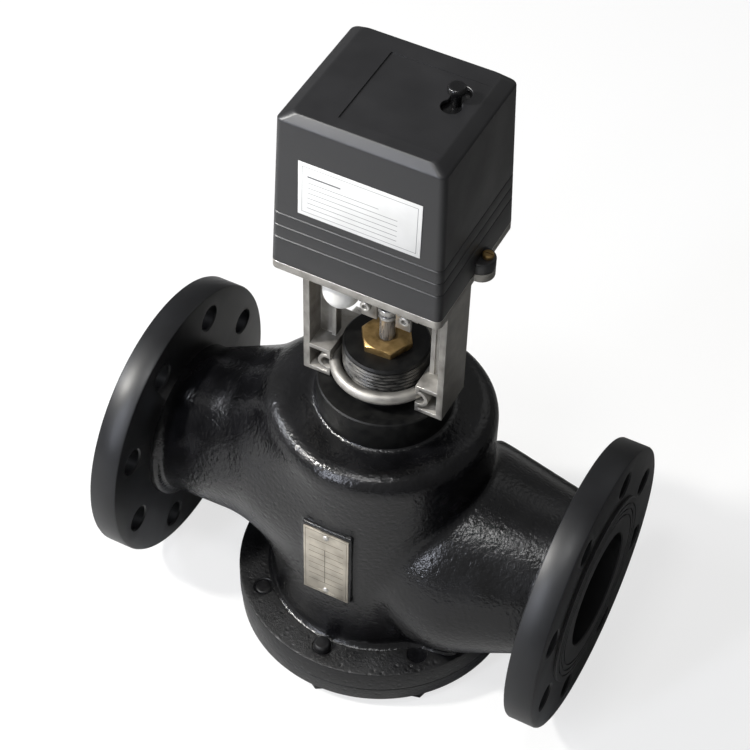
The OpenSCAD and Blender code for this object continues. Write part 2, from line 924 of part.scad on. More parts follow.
module control_plug() {
    color("silver")
        difference() {
            union() {
                translate([0, 0, plug_z])
                    edged_disc(plug_r, plug_t, edge);
                translate([0, 0, plug_z - skirt_len])
                    tube(seat_d / 2 - loose_gap, seat_d / 2 - loose_gap - skirt_wall, skirt_len + over);
            }
            translate([0, 0, plug_z - over])
                cylinder(r = plug_bore_r, h = plug_t + 2 * over);
            // V ports in the skirt
            for (i = [0 : vee_count - 1])
                rotate([0, 0, i * 360 / vee_count])
                    translate([0, 0, plug_z - edge])
                        rotate([90, 0, 90])
                            linear_extrude(plug_r)
                                polygon([[0, 0], [vee_w / 2, -skirt_len], [-vee_w / 2, -skirt_len]]);
        }
}

module plug_nut() {
    color("lightsteelblue")
        translate([0, 0, plug_z - plug_nut_h])
            difference() {
                hex(head_af, plug_nut_h);
                translate([0, 0, -over])
                    cylinder(r = plug_bore_r, h = plug_nut_h + 2 * over);
            }
}

module u_bolt() {
    color([0.6, 0.6, 0.6])
        translate([0, 0, rod_z]) {
            rotate([0, 0, 180])
                rotate_extrude(angle = 180)
                    translate([rod_bend_r, 0])
                        circle(r = rod_r, $fn = 48);
            mirrored_x()
                translate([rod_bend_r, 0, 0])
                    rotate([-90, 0, 0])
                        cylinder(r = rod_r, h = saddle_y + rod_washer_t + rod_nut_h + rod_over, $fn = 48);
        }
}

module u_bolt_washers() {
    color("silver")
        mirrored_x()
            translate([rod_bend_r, saddle_y, rod_z])
                rotate([-90, 0, 0])
                    tube(rod_washer_r, rod_r + fit_gap, rod_washer_t);
}

module u_bolt_nuts() {
    color("silver")
        mirrored_x()
            translate([rod_bend_r, saddle_y + rod_washer_t, rod_z])
                rotate([-90, 0, 0])
                    difference() {
                        hex(rod_nut_af, rod_nut_h);
                        translate([0, 0, -over])
                            cylinder(r = rod_r + fit_gap, h = rod_nut_h + 2 * over, $fn = 48);
                    }
}

// Cast block behind the neck: the U-bolt draws it against the neck and the feet
module clamp_saddle() {
    color([0.62, 0.62, 0.62])
        difference() {
            union() {
                translate([-saddle_arm_x, leg_back, rod_z - saddle_h / 2])
                    cube([2 * saddle_arm_x, saddle_arm_t, saddle_h]);
                translate([-saddle_x, leg_back, rod_z - saddle_h / 2])
                    cube([2 * saddle_x, neck_r + saddle_back - leg_back, saddle_h]);
            }
            translate([0, 0, rod_z - saddle_h])
                cylinder(r = neck_r + fit_gap, h = 2 * saddle_h);
            mirrored_x()
                translate([rod_bend_r, leg_back - over, rod_z])
                    rotate([-90, 0, 0])
                        cylinder(r = rod_r + hook_gap, h = saddle_y, $fn = 48);
        }
}

// Plan of the cover and base plate at the height h above the cover's lower edge
module hood_plan(h, inset, depth, bevel_share = 0) {
    run = draft_share * h + inset;
    r = hood_corner_r - inset / 2;
    x = hood_w / 2 - run - r - bevel_share * bevel_side;
    y = hood_d / 2 - run - r - bevel_share * bevel_front;
    for (sx = [-1, 1], sy = [-1, 1])
        translate([sx * x, hood_y + sy * y, 0])
            cylinder(r = r, h = depth, $fn = 32);
}

module rounded_plate(w, d, r, h) {
    translate([-w / 2 + r, -d / 2, 0])
        cube([w - 2 * r, d, h]);
    translate([-w / 2, -d / 2 + r, 0])
        cube([w, d - 2 * r, h]);
    for (sx = [-1, 1], sy = [-1, 1])
        translate([sx * (w / 2 - r), sy * (d / 2 - r), 0])
            cylinder(r = r, h = h, $fn = 48);
}

// Leg and foot on the +X side
module yoke_leg() {
    translate([leg_x - leg_t, -leg_front, foot_z])
        cube([leg_t, leg_w, plate_z - foot_z + over]);
    translate([leg_in_x, leg_web_y, foot_top_z - over])
        cube([leg_x - leg_in_x - leg_t / 2, leg_web_t, leg_h + 2 * over]);
    translate([leg_in_x, leg_web_y - bead_out, foot_top_z - over])
        cube([leg_bead, leg_web_t + 2 * bead_out, leg_h + 2 * over]);
    // hollow foot with a hook that holds the U-bolt's leg
    difference() {
        translate([foot_x, -leg_front, foot_z])
            cube([leg_x - foot_x, leg_w, foot_h]);
        translate([foot_x - over, -leg_front - over, foot_z + foot_wall])
            cube([leg_x - foot_x - leg_t + over, leg_w + 2 * over, foot_h - 2 * foot_wall]);
    }
    translate([0, 0, foot_z]) {
        difference() {
            translate([rod_bend_r, -leg_front, foot_h / 2])
                rotate([-90, 0, 0])
                    cylinder(r = rod_r + hook_gap + hook_wall, h = leg_w, $fn = 48);
            translate([rod_bend_r, -leg_front - over, foot_h / 2])
                rotate([-90, 0, 0])
                    cylinder(r = rod_r + hook_gap, h = leg_w + 2 * over, $fn = 48);
            translate([0, -leg_front - over, 0])
                cube([foot_x, leg_w + 2 * over, foot_h]);
        }
        for (z = [0, foot_h / 2 + rod_r + hook_gap])
            translate([foot_x, -leg_front, z])
                cube([hook_wall, leg_w, foot_h / 2 - rod_r - hook_gap]);
    }
}

module yoke() {
    color([0.66, 0.65, 0.64])
        difference() {
            union() {
                translate([0, hood_y, plate_z])
                    rounded_plate(hood_w, hood_d, plate_corner_r, plate_t);
                mirrored_x()
                    translate([lug_x, lug_y, plate_z]) {
                        cylinder(r = lug_r, h = plate_t, $fn = 48);
                        translate([-2 * lug_r, -lug_r, 0])
                            cube([2 * lug_r, 2 * lug_r, plate_t]);
                    }
                mirrored_x()
                    yoke_leg();
            }
            translate([0, 0, plate_z - over])
                cylinder(r = spindle_r + bush_wall, h = plate_t + 2 * over);
            translate([gland_x, gland_y, plate_z - over])
                cylinder(r = gland_thread_r + loose_gap, h = plate_t + 2 * over);
            mirrored_x()
                translate([lug_screw_x, lug_screw_y, plate_z - over])
                    cylinder(r = screw_r, h = plate_t + 2 * over, $fn = 32);
            for (at = pillar_places())
                translate([at[0], at[1], plate_z - over])
                    cylinder(r = screw_r, h = plate_t + 2 * over, $fn = 32);
        }
}

function pillar_places() = [
    [-pillar_x, -pillar_front], [pillar_x, -pillar_front],
    [-pillar_x, pillar_back], [pillar_x, pillar_back]
];

// Both halves together; the split at y = 0 parts them
module coupling_solid() {
    difference() {
        union() {
            translate([-coup_x, -coup_y, coup_z])
                cube([2 * coup_x, 2 * coup_y, coup_h]);
            translate([-sleeve_x, -coup_y, coup_z])
                cube([2 * sleeve_x, 2 * coup_y, sleeve_top_z - coup_z]);
        }
        translate([0, 0, coup_z - over])
            cylinder(r = stem_r + fit_gap, h = coup_h);
        translate([0, 0, button_z - fit_gap])
            cylinder(r = button_r + fit_gap, h = spindle_low_z - button_z + fit_gap);
        translate([0, 0, spindle_low_z - fit_gap])
            cylinder(r = spindle_r + fit_gap, h = sleeve_top_z - spindle_low_z + over);
        mirrored_x()
            translate([coup_screw_x, -coup_y - over, coup_z + coup_h / 2])
                rotate([-90, 0, 0])
                    cylinder(r = screw_r, h = 2 * coup_y + 2 * over, $fn = 32);
    }
}

module coupling_front() {
    color([0.75, 0.74, 0.72])
        difference() {
            intersection() {
                coupling_solid();
                translate([-leg_x, -coup_y - over, coup_z - over])
                    cube([2 * leg_x, coup_y + over - coup_split / 2, leg_h]);
            }
            // window that shows the stem's button
            translate([-button_r - loose_gap, -coup_y - over, button_z])
                cube([2 * button_r + 2 * loose_gap, coup_y, spindle_low_z - button_z]);
        }
}

module coupling_rear() {
    color([0.75, 0.74, 0.72])
        intersection() {
            coupling_solid();
            translate([-leg_x, coup_split / 2, coup_z - over])
                cube([2 * leg_x, coup_y + over, leg_h]);
        }
}

module coupling_screws() {
    color("silver")
        mirrored_x()
            translate([coup_screw_x, -coup_y, coup_z + coup_h / 2])
                rotate([-90, 0, 0])
                    difference() {
                        union() {
                            cylinder(r = screw_r - fit_gap, h = 2 * coup_y - edge, $fn = 32);
                            rotate([180, 0, 0])
                                soft_disc(screw_head_r, screw_head_h, edge / 2);
                        }
                        translate([-screw_head_r - over, -edge / 3, -screw_head_h - over])
                            cube([2 * screw_head_r + 2 * over, edge * 2 / 3, over + edge]);
                    }
}

module gland_body() {
    color([0.9, 0.9, 0.88])
        translate([gland_x, gland_y, plate_z]) {
            difference() {
                union() {
                    translate([0, 0, -gland_hex_h])
                        hex(gland_hex_af, gland_hex_h);
                    cylinder(r = gland_thread_r, h = plate_t + gland_locknut_h + edge);
                }
                translate([0, 0, -gland_hex_h - over])
                    cylinder(r = gland_thread_r - bush_wall, h = 2 * gland_hex_h + plate_t + 2 * over);
            }
        }
}

module gland_locknut() {
    color([0.9, 0.9, 0.88])
        translate([gland_x, gland_y, plate_top_z])
            difference() {
                hex(gland_hex_af - edge, gland_locknut_h);
                translate([0, 0, -over])
                    cylinder(r = gland_thread_r + fit_gap, h = gland_locknut_h + 2 * over);
            }
}

// Domed nut and blanking plug of the cable entry
module gland_plug() {
    color([0.95, 0.95, 0.93])
        translate([gland_x, gland_y, plate_z - entry_drop]) {
            sphere(r = entry_r);
            cylinder(r = entry_r, h = entry_drop - gland_hex_h);
        }
}

module spindle_bush() {
    color("peru")
        translate([0, 0, plate_z])
            difference() {
                cylinder(r = spindle_r + bush_wall - fit_gap, h = plate_t + shelf_rise / 2);
                intersection() {
                    translate([0, 0, -over])
                        cylinder(r = spindle_r + run_gap, h = plate_t + shelf_rise);
                    translate([-spindle_flat - run_gap, -spindle_r - over, -over])
                        cube([2 * spindle_flat + 2 * run_gap, 2 * spindle_r + 2 * over, plate_t + shelf_rise]);
                }
            }
}

// Spindle: two flats run in the bush, the thread runs in the drive gear
module drive_spindle() {
    thread_z = plate_top_z + shelf_rise / 2 + level_step;
    turns = floor((spindle_top_z - cam_h - thread_z) / spindle_lead);
    color("gainsboro") {
        intersection() {
            translate([0, 0, spindle_low_z])
                cylinder(r = spindle_r, h = thread_z - spindle_low_z);
            translate([-spindle_flat, -spindle_r, spindle_low_z])
                cube([2 * spindle_flat, 2 * spindle_r, thread_z - spindle_low_z]);
        }
        difference() {
            translate([0, 0, thread_z])
                cylinder(r = spindle_r, h = spindle_top_z - cam_h - thread_z);
            for (i = [1 : turns - 1])
                translate([0, 0, thread_z + i * spindle_lead])
                    rotate_extrude()
                        polygon([[spindle_r - thread_depth, 0], [spindle_r + over, edge],
                            [spindle_r + over, -edge]]);
        }
        translate([0, 0, spindle_top_z - cam_h - fit_gap])
            cylinder(r = spindle_r / 2, h = cam_h + fit_gap);
    }
}

module travel_cam() {
    color("orange")
        translate([0, 0, spindle_top_z - cam_h])
            difference() {
                edged_disc(cam_r, cam_h, edge / 2);
                translate([0, 0, -over])
                    cylinder(r = spindle_r / 2 + fit_gap, h = cam_h + 2 * over);
            }
}

// Outline shared by the two gear plates
module shelf_plate(z) {
    difference() {
        translate([-shelf_x, -shelf_front, z])
            cube([2 * shelf_x, shelf_front + shelf_back, shelf_t]);
        translate([gland_x, gland_y, z - over])
            cylinder(r = gland_thread_r + shelf_cut, h = shelf_t + 2 * over);
        for (at = pillar_places())
            translate([at[0], at[1], z - over])
                cylinder(r = screw_r, h = shelf_t + 2 * over, $fn = 32);
        for (at = [second_at, first_at])
            translate([at[0], at[1], z - over])
                cylinder(r = pin_r + fit_gap, h = shelf_t + 2 * over, $fn = 32);
    }
}

module gear_plate_lower() {
    color("silver")
        difference() {
            shelf_plate(shelf_z);
            translate([0, 0, shelf_z - over])
                cylinder(r = spindle_r + loose_gap, h = shelf_t + 2 * over);
        }
}

module gear_plate_upper() {
    color("silver")
        difference() {
            shelf_plate(upper_z);
            translate([0, 0, upper_z - over])
                cylinder(r = spindle_r + loose_gap, h = shelf_t + 2 * over);
            translate([pinion_at[0], pinion_at[1], upper_z - over])
                cylinder(r = fine_module * fast_teeth / 2 + 2 * edge, h = shelf_t + 2 * over);
        }
}

module gear_pillars() {
    color("lightsteelblue")
        for (at = pillar_places())
            translate([at[0], at[1], 0]) {
                translate([0, 0, plate_top_z])
                    cylinder(r = pillar_r, h = shelf_rise, $fn = 32);
                translate([0, 0, shelf_top_z])
                    cylinder(r = pillar_r, h = upper_z - shelf_top_z, $fn = 32);
                translate([0, 0, plate_z])
                    cylinder(r = screw_r - fit_gap, h = upper_top_z + pillar_nut_h + edge - plate_z, $fn = 32);
            }
}

module pillar_nuts() {
    color("silver")
        for (at = pillar_places())
            translate([at[0], at[1], upper_top_z])
                difference() {
                    hex(2 * pillar_r, pillar_nut_h);
                    translate([0, 0, -over])
                        cylinder(r = screw_r, h = pillar_nut_h + 2 * over, $fn = 32);
                }
}

// Each shaft has a shoulder on which its gear turns
module gear_shaft(at, gear_z) {
    translate([at[0], at[1], 0]) {
        translate([0, 0, shelf_z])
            cylinder(r = pin_r, h = upper_top_z - shelf_z, $fn = 32);
        translate([0, 0, shelf_top_z])
            cylinder(r = pin_r + edge, h = gear_z - level_gap - shelf_top_z, $fn = 32);
    }
}

module gear_shafts() {
    color("gainsboro") {
        gear_shaft(second_at, main_z);
        gear_shaft(first_at, fine_z);
    }
}

module thrust_washers() {
    color("peru") {
        translate([0, 0, shelf_top_z])
            tube(hub_main_r, spindle_r + loose_gap, washer_h);
        translate([0, 0, upper_z - washer_h])
            tube(hub_main_r, spindle_r + loose_gap, washer_h);
    }
}

// Involute tooth: half angle of the tooth at the radius r
function inv(a) = tan(a) * 180 / PI - a;
function half_angle(m, teeth, r) =
    let (pitch_r = m * teeth / 2, base_r = pitch_r * cos(pressure_angle),
         a = r > base_r ? acos(base_r / r) : 0)
        90 / teeth - tooth_slack / 4 / pitch_r * 180 / PI + inv(pressure_angle) - inv(a);

// Outline of one gear, tooth by tooth, with its first tooth on the +X axis
function gear_points(m, teeth) =
    let (tip_r = m * (teeth / 2 + 1), root_r = m * (teeth / 2 - 1.25), steps = 3)
        [for (i = [0 : teeth - 1], s = [-1, 1], k = [0 : steps])
            let (share = s < 0 ? k / steps : 1 - k / steps,
                 r = root_r + (tip_r - root_r) * share,
                 a = i * 360 / teeth + s * half_angle(m, teeth, r))
                [r * cos(a), r * sin(a)]];

module gear_rim(m, teeth, face, bore_r) {
    difference() {
        linear_extrude(face)
            polygon(gear_points(m, teeth));
        translate([0, 0, -over])
            cylinder(r = bore_r, h = face + 2 * over, $fn = 48);
    }
}

// Turn of gear b so that it meshes with gear a, which lies at the direction beta from b's side
function mesh_turn(beta, teeth_a, turn_of_a, teeth_b) =
    beta + 180 - (0.5 - (beta - turn_of_a) * teeth_a / 360) * 360 / teeth_b;

second_turn = mesh_turn(turn_a, main_teeth, 0, slow_teeth);
first_turn = mesh_turn(turn_b, wheel_teeth, 0, fast_teeth);
pinion_turn = mesh_turn(turn_c, wheel_teeth, 0, fast_teeth);

module drive_gear() {
    hub_z = shelf_top_z + washer_h + level_gap;
    color([0.85, 0.7, 0.35])
        difference() {
            union() {
                translate([0, 0, main_z])
                    gear_rim(coarse_module, main_teeth, main_face, spindle_r + run_gap);
                translate([0, 0, hub_z])
                    cylinder(r = hub_main_r, h = train_top_z - hub_z);
            }
            translate([0, 0, hub_z - over])
                cylinder(r = spindle_r + run_gap, h = train_top_z - hub_z + 2 * over);
            translate([0, 0, main_z + main_face * 0.6])
                tube(coarse_module * main_teeth * 0.42, hub_main_r + edge, main_face);
        }
}

// Compound gear: the wheel and the small pinion that it carries
module compound_gear(m_low, teeth_low, face_low, m_high, teeth_high, low_turn, high_turn) {
    rotate([0, 0, low_turn])
        gear_rim(m_low, teeth_low, face_low + level_step + edge, pin_r + run_gap);
    translate([0, 0, face_low + level_step])
        rotate([0, 0, high_turn])
            gear_rim(m_high, teeth_high, fine_face, pin_r + run_gap);
}

module second_gear() {
    color([0.9, 0.88, 0.8])
        translate([second_at[0], second_at[1], main_z])
            compound_gear(coarse_module, slow_teeth, main_face, fine_module, wheel_teeth, second_turn, 0);
}

module first_gear() {
    color([0.9, 0.88, 0.8])
        translate([first_at[0], first_at[1], fine_z])
            compound_gear(fine_module, fast_teeth, fine_face, fine_module, wheel_teeth, first_turn, 0);
}

module motor_pinion() {
    color([0.85, 0.7, 0.35])
        translate([pinion_at[0], pinion_at[1], fast_z])
            rotate([0, 0, pinion_turn]) {
                linear_extrude(fine_face)
                    polygon(gear_points(fine_module, fast_teeth));
                cylinder(r = pin_r, h = upper_top_z + motor_bore - fast_z - level_gap, $fn = 32);
            }
}

module drive_motor() {
    color("silver")
        difference() {
            translate([motor_at[0], motor_at[1], upper_top_z]) {
                soft_disc(motor_r, motor_h, edge);
                mirrored_ears()
                    translate([motor_r, 0, 0])
                        cylinder(r = pillar_r, h = edge, $fn = 32);
            }
            translate([pinion_at[0], pinion_at[1], upper_top_z - over])
                cylinder(r = pin_r + run_gap, h = motor_bore + over, $fn = 32);
        }
}

// Ears of the motor, across its shaft
module mirrored_ears() {
    for (turn = [150, -30])
        rotate([0, 0, turn])
            children();
}

module limit_switches() {
    switch_w = 8;
    switch_l = 16;
    switch_h = 7;
    color([0.15, 0.15, 0.16]) {
        translate([-cam_r - edge - switch_w, -switch_l, upper_top_z])
            cube([switch_w, switch_l, switch_h]);
        translate([-cam_r - edge - switch_w, -switch_l, upper_top_z + stroke])
            cube([switch_w, switch_l, switch_h]);
        translate([-cam_r - edge - switch_w, -switch_l - edge, upper_top_z])
            cube([switch_w, edge + fit_gap, stroke + switch_h]);
    }
}

module circuit_board() {
    color("darkgreen") {
        translate([-board_x - board_t, hood_y - board_y / 2, upper_top_z])
            cube([board_t, board_y, board_h]);
        translate([-board_x - fit_gap, hood_y - board_y / 3, upper_top_z + board_h / 2])
            cube([block_d, block_h, block_h]);
        translate([-board_x - fit_gap, hood_y + board_y / 6, upper_top_z + board_h / 2])
            cube([block_d / 2, block_h, block_h]);
    }
}

module terminal_block() {
    pole_w = block_w / poles;
    color("seagreen")
        translate([block_at[0] - block_w / 2, block_at[1] - block_d / 2, shelf_top_z])
            difference() {
                cube([block_w, block_d, block_h]);
                for (i = [0 : poles - 1])
                    translate([(i + 0.5) * pole_w, block_d / 2, block_h / 2])
                        cylinder(r = screw_r, h = block_h, $fn = 24);
            }
}

module terminal_screws() {
    pole_w = block_w / poles;
    color("silver")
        for (i = [0 : poles - 1])
            translate([block_at[0] - block_w / 2 + (i + 0.5) * pole_w, block_at[1], shelf_top_z + block_h / 2])
                cylinder(r = screw_r - fit_gap, h = block_h / 3, $fn = 24);
}

// Shell between the cover's lower edge and its bevelled top
module hood_hull(inset, top_inset) {
    top = hood_wall_h;
    hull() {
        hood_plan(0, inset, edge);
        translate([0, 0, top - top_inset])
            hood_plan(top - top_inset, inset, fit_gap);
    }
    hull() {
        translate([0, 0, top - top_inset])
            hood_plan(top - top_inset, inset, fit_gap);
        translate([0, 0, top + bevel_h - top_inset - fit_gap])
            hood_plan(top, inset, fit_gap, 1);
    }
}

// Rails under the roof that carry the declutch slider
module slider_rails() {
    top = hood_top_z - hood_wall + fit_gap;
    for (s = [-1, 1]) {
        translate([slot_x + s * (slider_w / 2 + loose_gap + rail_t / 2) - rail_t / 2,
            slot_y - slider_l / 2, slider_z - loose_gap - rail_t])
            cube([rail_t, slider_l, top - slider_z + loose_gap + rail_t]);
        translate([slot_x + s * (slider_w / 2 - rail_t / 2) - rail_t, slot_y - slider_l / 2,
            slider_z - run_gap - rail_t])
            cube([2 * rail_t, slider_l, rail_t]);
    }
}

module actuator_cover() {
    color([0.06, 0.06, 0.065]) {
        slider_rails();
        hood_shell();
    }
}

module hood_shell() {
    translate([0, 0, plate_top_z])
        difference() {
            union() {
                hood_hull(0, 0);
                mirrored_x()
                    translate([lug_x, lug_y, 0]) {
                        soft_disc(lug_r, lug_h, edge);
                        translate([-2 * lug_r + edge, -lug_r, 0])
                            cube([2 * lug_r - edge, 2 * lug_r, lug_h - edge]);
                    }
            }
            translate([0, 0, -over])
                hood_hull(hood_wall, hood_wall);
            for (i = [0 : groove_count - 1])
                translate([0, 0, groove_z + i * groove_step])
                    hood_groove(groove_z + i * groove_step);
            // dumbbell slot of the declutch knob
            for (s = [-1, 1])
                translate([slot_x, slot_y + s * slot_half, hood_wall_h - hood_wall])
                    cylinder(r = slot_r, h = bevel_h + 2 * hood_wall, $fn = 48);
            translate([slot_x - slot_r * slot_neck_share, slot_y - slot_half, hood_wall_h - hood_wall])
                cube([2 * slot_r * slot_neck_share, 2 * slot_half, bevel_h + 2 * hood_wall]);
            // shallow panel: deepest along its left edge, level with the roof at the right
            translate([panel_x, panel_front, hood_wall_h + bevel_h - panel_sink])
                rotate([0, -atan2(panel_sink, hood_w / 2 - panel_x - bevel_side), 0])
                    cube([hood_w, panel_back - panel_front, hood_wall]);
            mirrored_x()
                translate([lug_screw_x, lug_screw_y, -over])
                    cylinder(r = screw_r + loose_gap, h = lug_h + 2 * over, $fn = 32);
        }
}

// Frame that cuts one groove round the cover
module hood_groove(h) {
    difference() {
        translate([-hood_w, -hood_d, 0])
            cube([2 * hood_w, 2 * hood_d, groove_w]);
        translate([0, 0, -over])
            hull()
                hood_plan(h, groove_t, groove_w + 2 * over);
    }
}

module cover_screws() {
    color([0.75, 0.6, 0.3])
        mirrored_x()
            translate([lug_screw_x, lug_screw_y, plate_z])
                difference() {
                    union() {
                        translate([0, 0, -edge])
                            cylinder(r = screw_r - fit_gap, h = plate_t + lug_h + edge, $fn = 32);
                        translate([0, 0, plate_t + lug_h])
                            soft_disc(screw_head_r, screw_head_h, edge);
                    }
                    translate([-screw_head_r, -edge / 3, plate_t + lug_h + screw_head_h - edge])
                        cube([2 * screw_head_r, edge * 2 / 3, 2 * edge]);
                }
}

module label_plate() {
    color("white")
        translate([label_x, hood_y - hood_d / 2, plate_top_z])
            rotate([-atan(draft_share), 0, 0])
                translate([-label_w / 2, -label_t - fit_gap, label_z])
                    cube([label_w, label_t, label_h]);
}

module declutch_knob() {
    stalk_z = slider_z + slider_t;
    color([0.06, 0.06, 0.065])
        translate([slot_x, slot_y, 0]) {
            translate([0, 0, stalk_z])
                cylinder(r = stalk_r, h = hood_top_z + knob_rise - knob_h - stalk_z + fit_gap);
            translate([0, 0, hood_top_z + knob_rise - knob_h])
                soft_disc(knob_r, knob_h, knob_h / 2);
        }
}

module declutch_slider() {
    color([0.3, 0.3, 0.32])
        translate([slot_x - slider_w / 2, slot_y - slider_l / 2, slider_z])
            cube([slider_w, slider_l, slider_t]);
}

valve_body();
seat_ring();
regulator_cage();
bottom_cover();
cover_bolts();
rod_bush();
diaphragm();
diaphragm_plates();
regulator_rod();
regulator_piston();
rod_nuts();
regulator_spring();
nameplate();
nameplate_rivets();
bonnet();
bonnet_seal();
stem_bush();
packing_washer();
packing_rings();
packing_nut();
valve_stem();
control_plug();
plug_nut();
u_bolt();
u_bolt_washers();
u_bolt_nuts();
clamp_saddle();
yoke();
coupling_front();
coupling_rear();
coupling_screws();
gland_body();
gland_locknut();
gland_plug();
spindle_bush();
drive_spindle();
travel_cam();
gear_plate_lower();
gear_plate_upper();
gear_pillars();
pillar_nuts();
gear_shafts();
thrust_washers();
drive_gear();
second_gear();
first_gear();
motor_pinion();
drive_motor();
limit_switches();
circuit_board();
terminal_block();
terminal_screws();
actuator_cover();
cover_screws();
label_plate();
declutch_knob();
declutch_slider();
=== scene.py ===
import bpy
import bmesh
import json
import math
import numpy as np
import openvdb
from mathutils import Matrix, Vector

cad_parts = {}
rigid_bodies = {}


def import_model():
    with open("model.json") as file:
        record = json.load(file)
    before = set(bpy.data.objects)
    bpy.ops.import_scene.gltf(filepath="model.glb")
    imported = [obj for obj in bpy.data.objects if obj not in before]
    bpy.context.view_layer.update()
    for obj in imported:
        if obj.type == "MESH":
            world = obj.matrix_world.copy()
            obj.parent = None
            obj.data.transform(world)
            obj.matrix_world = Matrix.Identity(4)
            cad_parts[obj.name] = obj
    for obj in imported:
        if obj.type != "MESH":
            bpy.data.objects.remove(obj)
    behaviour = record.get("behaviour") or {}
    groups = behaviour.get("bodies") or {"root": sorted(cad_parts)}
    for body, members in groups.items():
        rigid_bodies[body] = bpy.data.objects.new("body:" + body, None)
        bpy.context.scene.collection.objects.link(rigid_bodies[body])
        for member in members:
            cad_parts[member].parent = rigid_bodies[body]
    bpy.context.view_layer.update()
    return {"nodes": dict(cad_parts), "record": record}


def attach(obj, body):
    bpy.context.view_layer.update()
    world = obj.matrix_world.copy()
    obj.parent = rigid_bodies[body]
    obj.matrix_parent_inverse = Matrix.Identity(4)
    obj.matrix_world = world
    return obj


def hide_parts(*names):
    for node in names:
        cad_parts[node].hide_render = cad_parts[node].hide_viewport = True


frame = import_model()
mm = 0.001
print("frame loaded:", len(frame["nodes"]), "nodes")


# small helpers, whose sizes are in millimetres

def addNode(tree, kind, values=None, links=None, **settings):
    node = tree.nodes.new(kind)
    for key, value in settings.items():
        setattr(node, key, value)
    for key, value in (values or {}).items():
        node.inputs[key].default_value = value
    for key, socket in (links or {}).items():
        tree.links.new(socket, node.inputs[key])
    return node


def toLinear(code):  # sRGB hex to the linear colour that Blender works with
    parts = [int(code[i:i + 2], 16) / 255 for i in (1, 3, 5)]
    return tuple(c / 12.92 if c <= 0.04045 else ((c + 0.055) / 1.055) ** 2.4 for c in parts) + (1.0,)


def newObject(name, mesh):
    obj = bpy.data.objects.new(name, mesh)
    bpy.context.scene.collection.objects.link(obj)
    return obj


def meshFrom(name, points, faces):
    mesh = bpy.data.meshes.new(name)
    mesh.from_pydata([tuple(c * mm for c in p) for p in points], [], faces)
    return mesh


def cleanUp(mesh, distance=0.00001):  # distance in metres
    bm = bmesh.new()
    bm.from_mesh(mesh)
    bmesh.ops.remove_doubles(bm, verts=bm.verts, dist=distance)
    bmesh.ops.recalc_face_normals(bm, faces=bm.faces)
    bm.to_mesh(mesh)
    bm.free()
    return mesh


def bake(obj):  # modifiers become plain geometry
    bpy.context.view_layer.update()
    deps = bpy.context.evaluated_depsgraph_get()
    mesh = bpy.data.meshes.new_from_object(obj.evaluated_get(deps))
    obj.modifiers.clear()
    obj.data = mesh
    return obj


def breakEdges(obj, width, segments=2, angle=32, edgeSlot=-1):
    mod = obj.modifiers.new("brokenEdges", "BEVEL")
    mod.width = width * mm
    mod.segments = segments
    mod.limit_method = "ANGLE"
    mod.angle_limit = math.radians(angle)
    mod.material = edgeSlot
    return bake(obj)


def shade(obj, angle=35):
    obj.data.shade_smooth()
    obj.data.set_sharp_from_angle(angle=math.radians(angle))
    return obj


def cut(obj, tool):
    mod = obj.modifiers.new("cut", "BOOLEAN")
    mod.operation = "DIFFERENCE"
    mod.solver = "EXACT"
    mod.object = tool
    bake(obj)
    bpy.data.objects.remove(tool)
    return obj


def joined(objects):  # one object, under the first one's name
    bm = bmesh.new()
    for item in objects:
        bm.from_mesh(item.data)
    first = objects[0]
    for item in objects[1:]:
        bpy.data.objects.remove(item)
    bm.to_mesh(first.data)
    bm.free()
    return first


def seated(obj, body, slotName, *stands):  # what the piece rides on, and the nodes that it stands for
    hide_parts(*stands)
    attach(obj, body)
    return obj


def dressed(obj, material, body, slotName, *stands):
    obj.data.materials.clear()
    obj.data.materials.append(material)
    return seated(obj, body, slotName, *stands)


def ownBody(node):
    return next(name for name, nodes in frame["record"]["behaviour"]["bodies"].items() if node in nodes)


def ownSlot(node):
    return next(item["material_slot"] for item in frame["record"]["subparts"] if item["node"] == node)


def copied(node, material, edge=0.0, angle=32, smooth=35, edgeMaterial=None):
    # a merged copy of the node, its edges broken and its curves shaded smooth
    mesh = frame["nodes"][node].data.copy()
    bm = bmesh.new()
    bm.from_mesh(mesh)
    bmesh.ops.remove_doubles(bm, verts=bm.verts, dist=0.000004)
    bmesh.ops.dissolve_limit(bm, angle_limit=math.radians(0.6), verts=bm.verts, edges=bm.edges, delimit=set())
    bm.to_mesh(mesh)
    bm.free()
    obj = newObject(node + "_made", mesh)
    mesh.materials.clear()
    for item in (material, edgeMaterial) if edgeMaterial else (material,):
        mesh.materials.append(item)
    for face in mesh.polygons:
        face.material_index = 0
    if edge:
        breakEdges(obj, edge, 2, angle, 1 if edgeMaterial else -1)
    return shade(obj, smooth)


def refined(node, *look, **more):
    return seated(copied(node, *look, **more), ownBody(node), ownSlot(node), node)


def lathe(name, profile, axis="Z", centre=(0, 0, 0), segments=128, closed=False, flip=1):
    # turned piece from points (radius, height)
    points, faces = [], []
    n = len(profile)
    for i in range(segments):
        a = 2 * math.pi * i / segments
        for r, h in profile:
            p = (r * math.cos(a), r * math.sin(a), h * flip)
            if axis == "X":
                p = (p[2], p[0], p[1])
            if axis == "Y":
                p = (p[1], p[2], p[0])
            points.append(tuple(p[k] + centre[k] for k in range(3)))
    for i in range(segments):
        j = (i + 1) % segments
        for k in range(n if closed else n - 1):
            m = (k + 1) % n
            faces.append((i * n + k, j * n + k, j * n + m, i * n + m))
    return newObject(name, cleanUp(meshFrom(name, points, faces)))


def boxMesh(name, low, high):
    xs, ys, zs = zip(low, high)
    points = [(a, b, c) for a in xs for b in ys for c in zs]
    faces = [(0, 1, 3, 2), (4, 6, 7, 5), (0, 4, 5, 1), (2, 3, 7, 6), (0, 2, 6, 4), (1, 5, 7, 3)]
    return newObject(name, cleanUp(meshFrom(name, points, faces)))


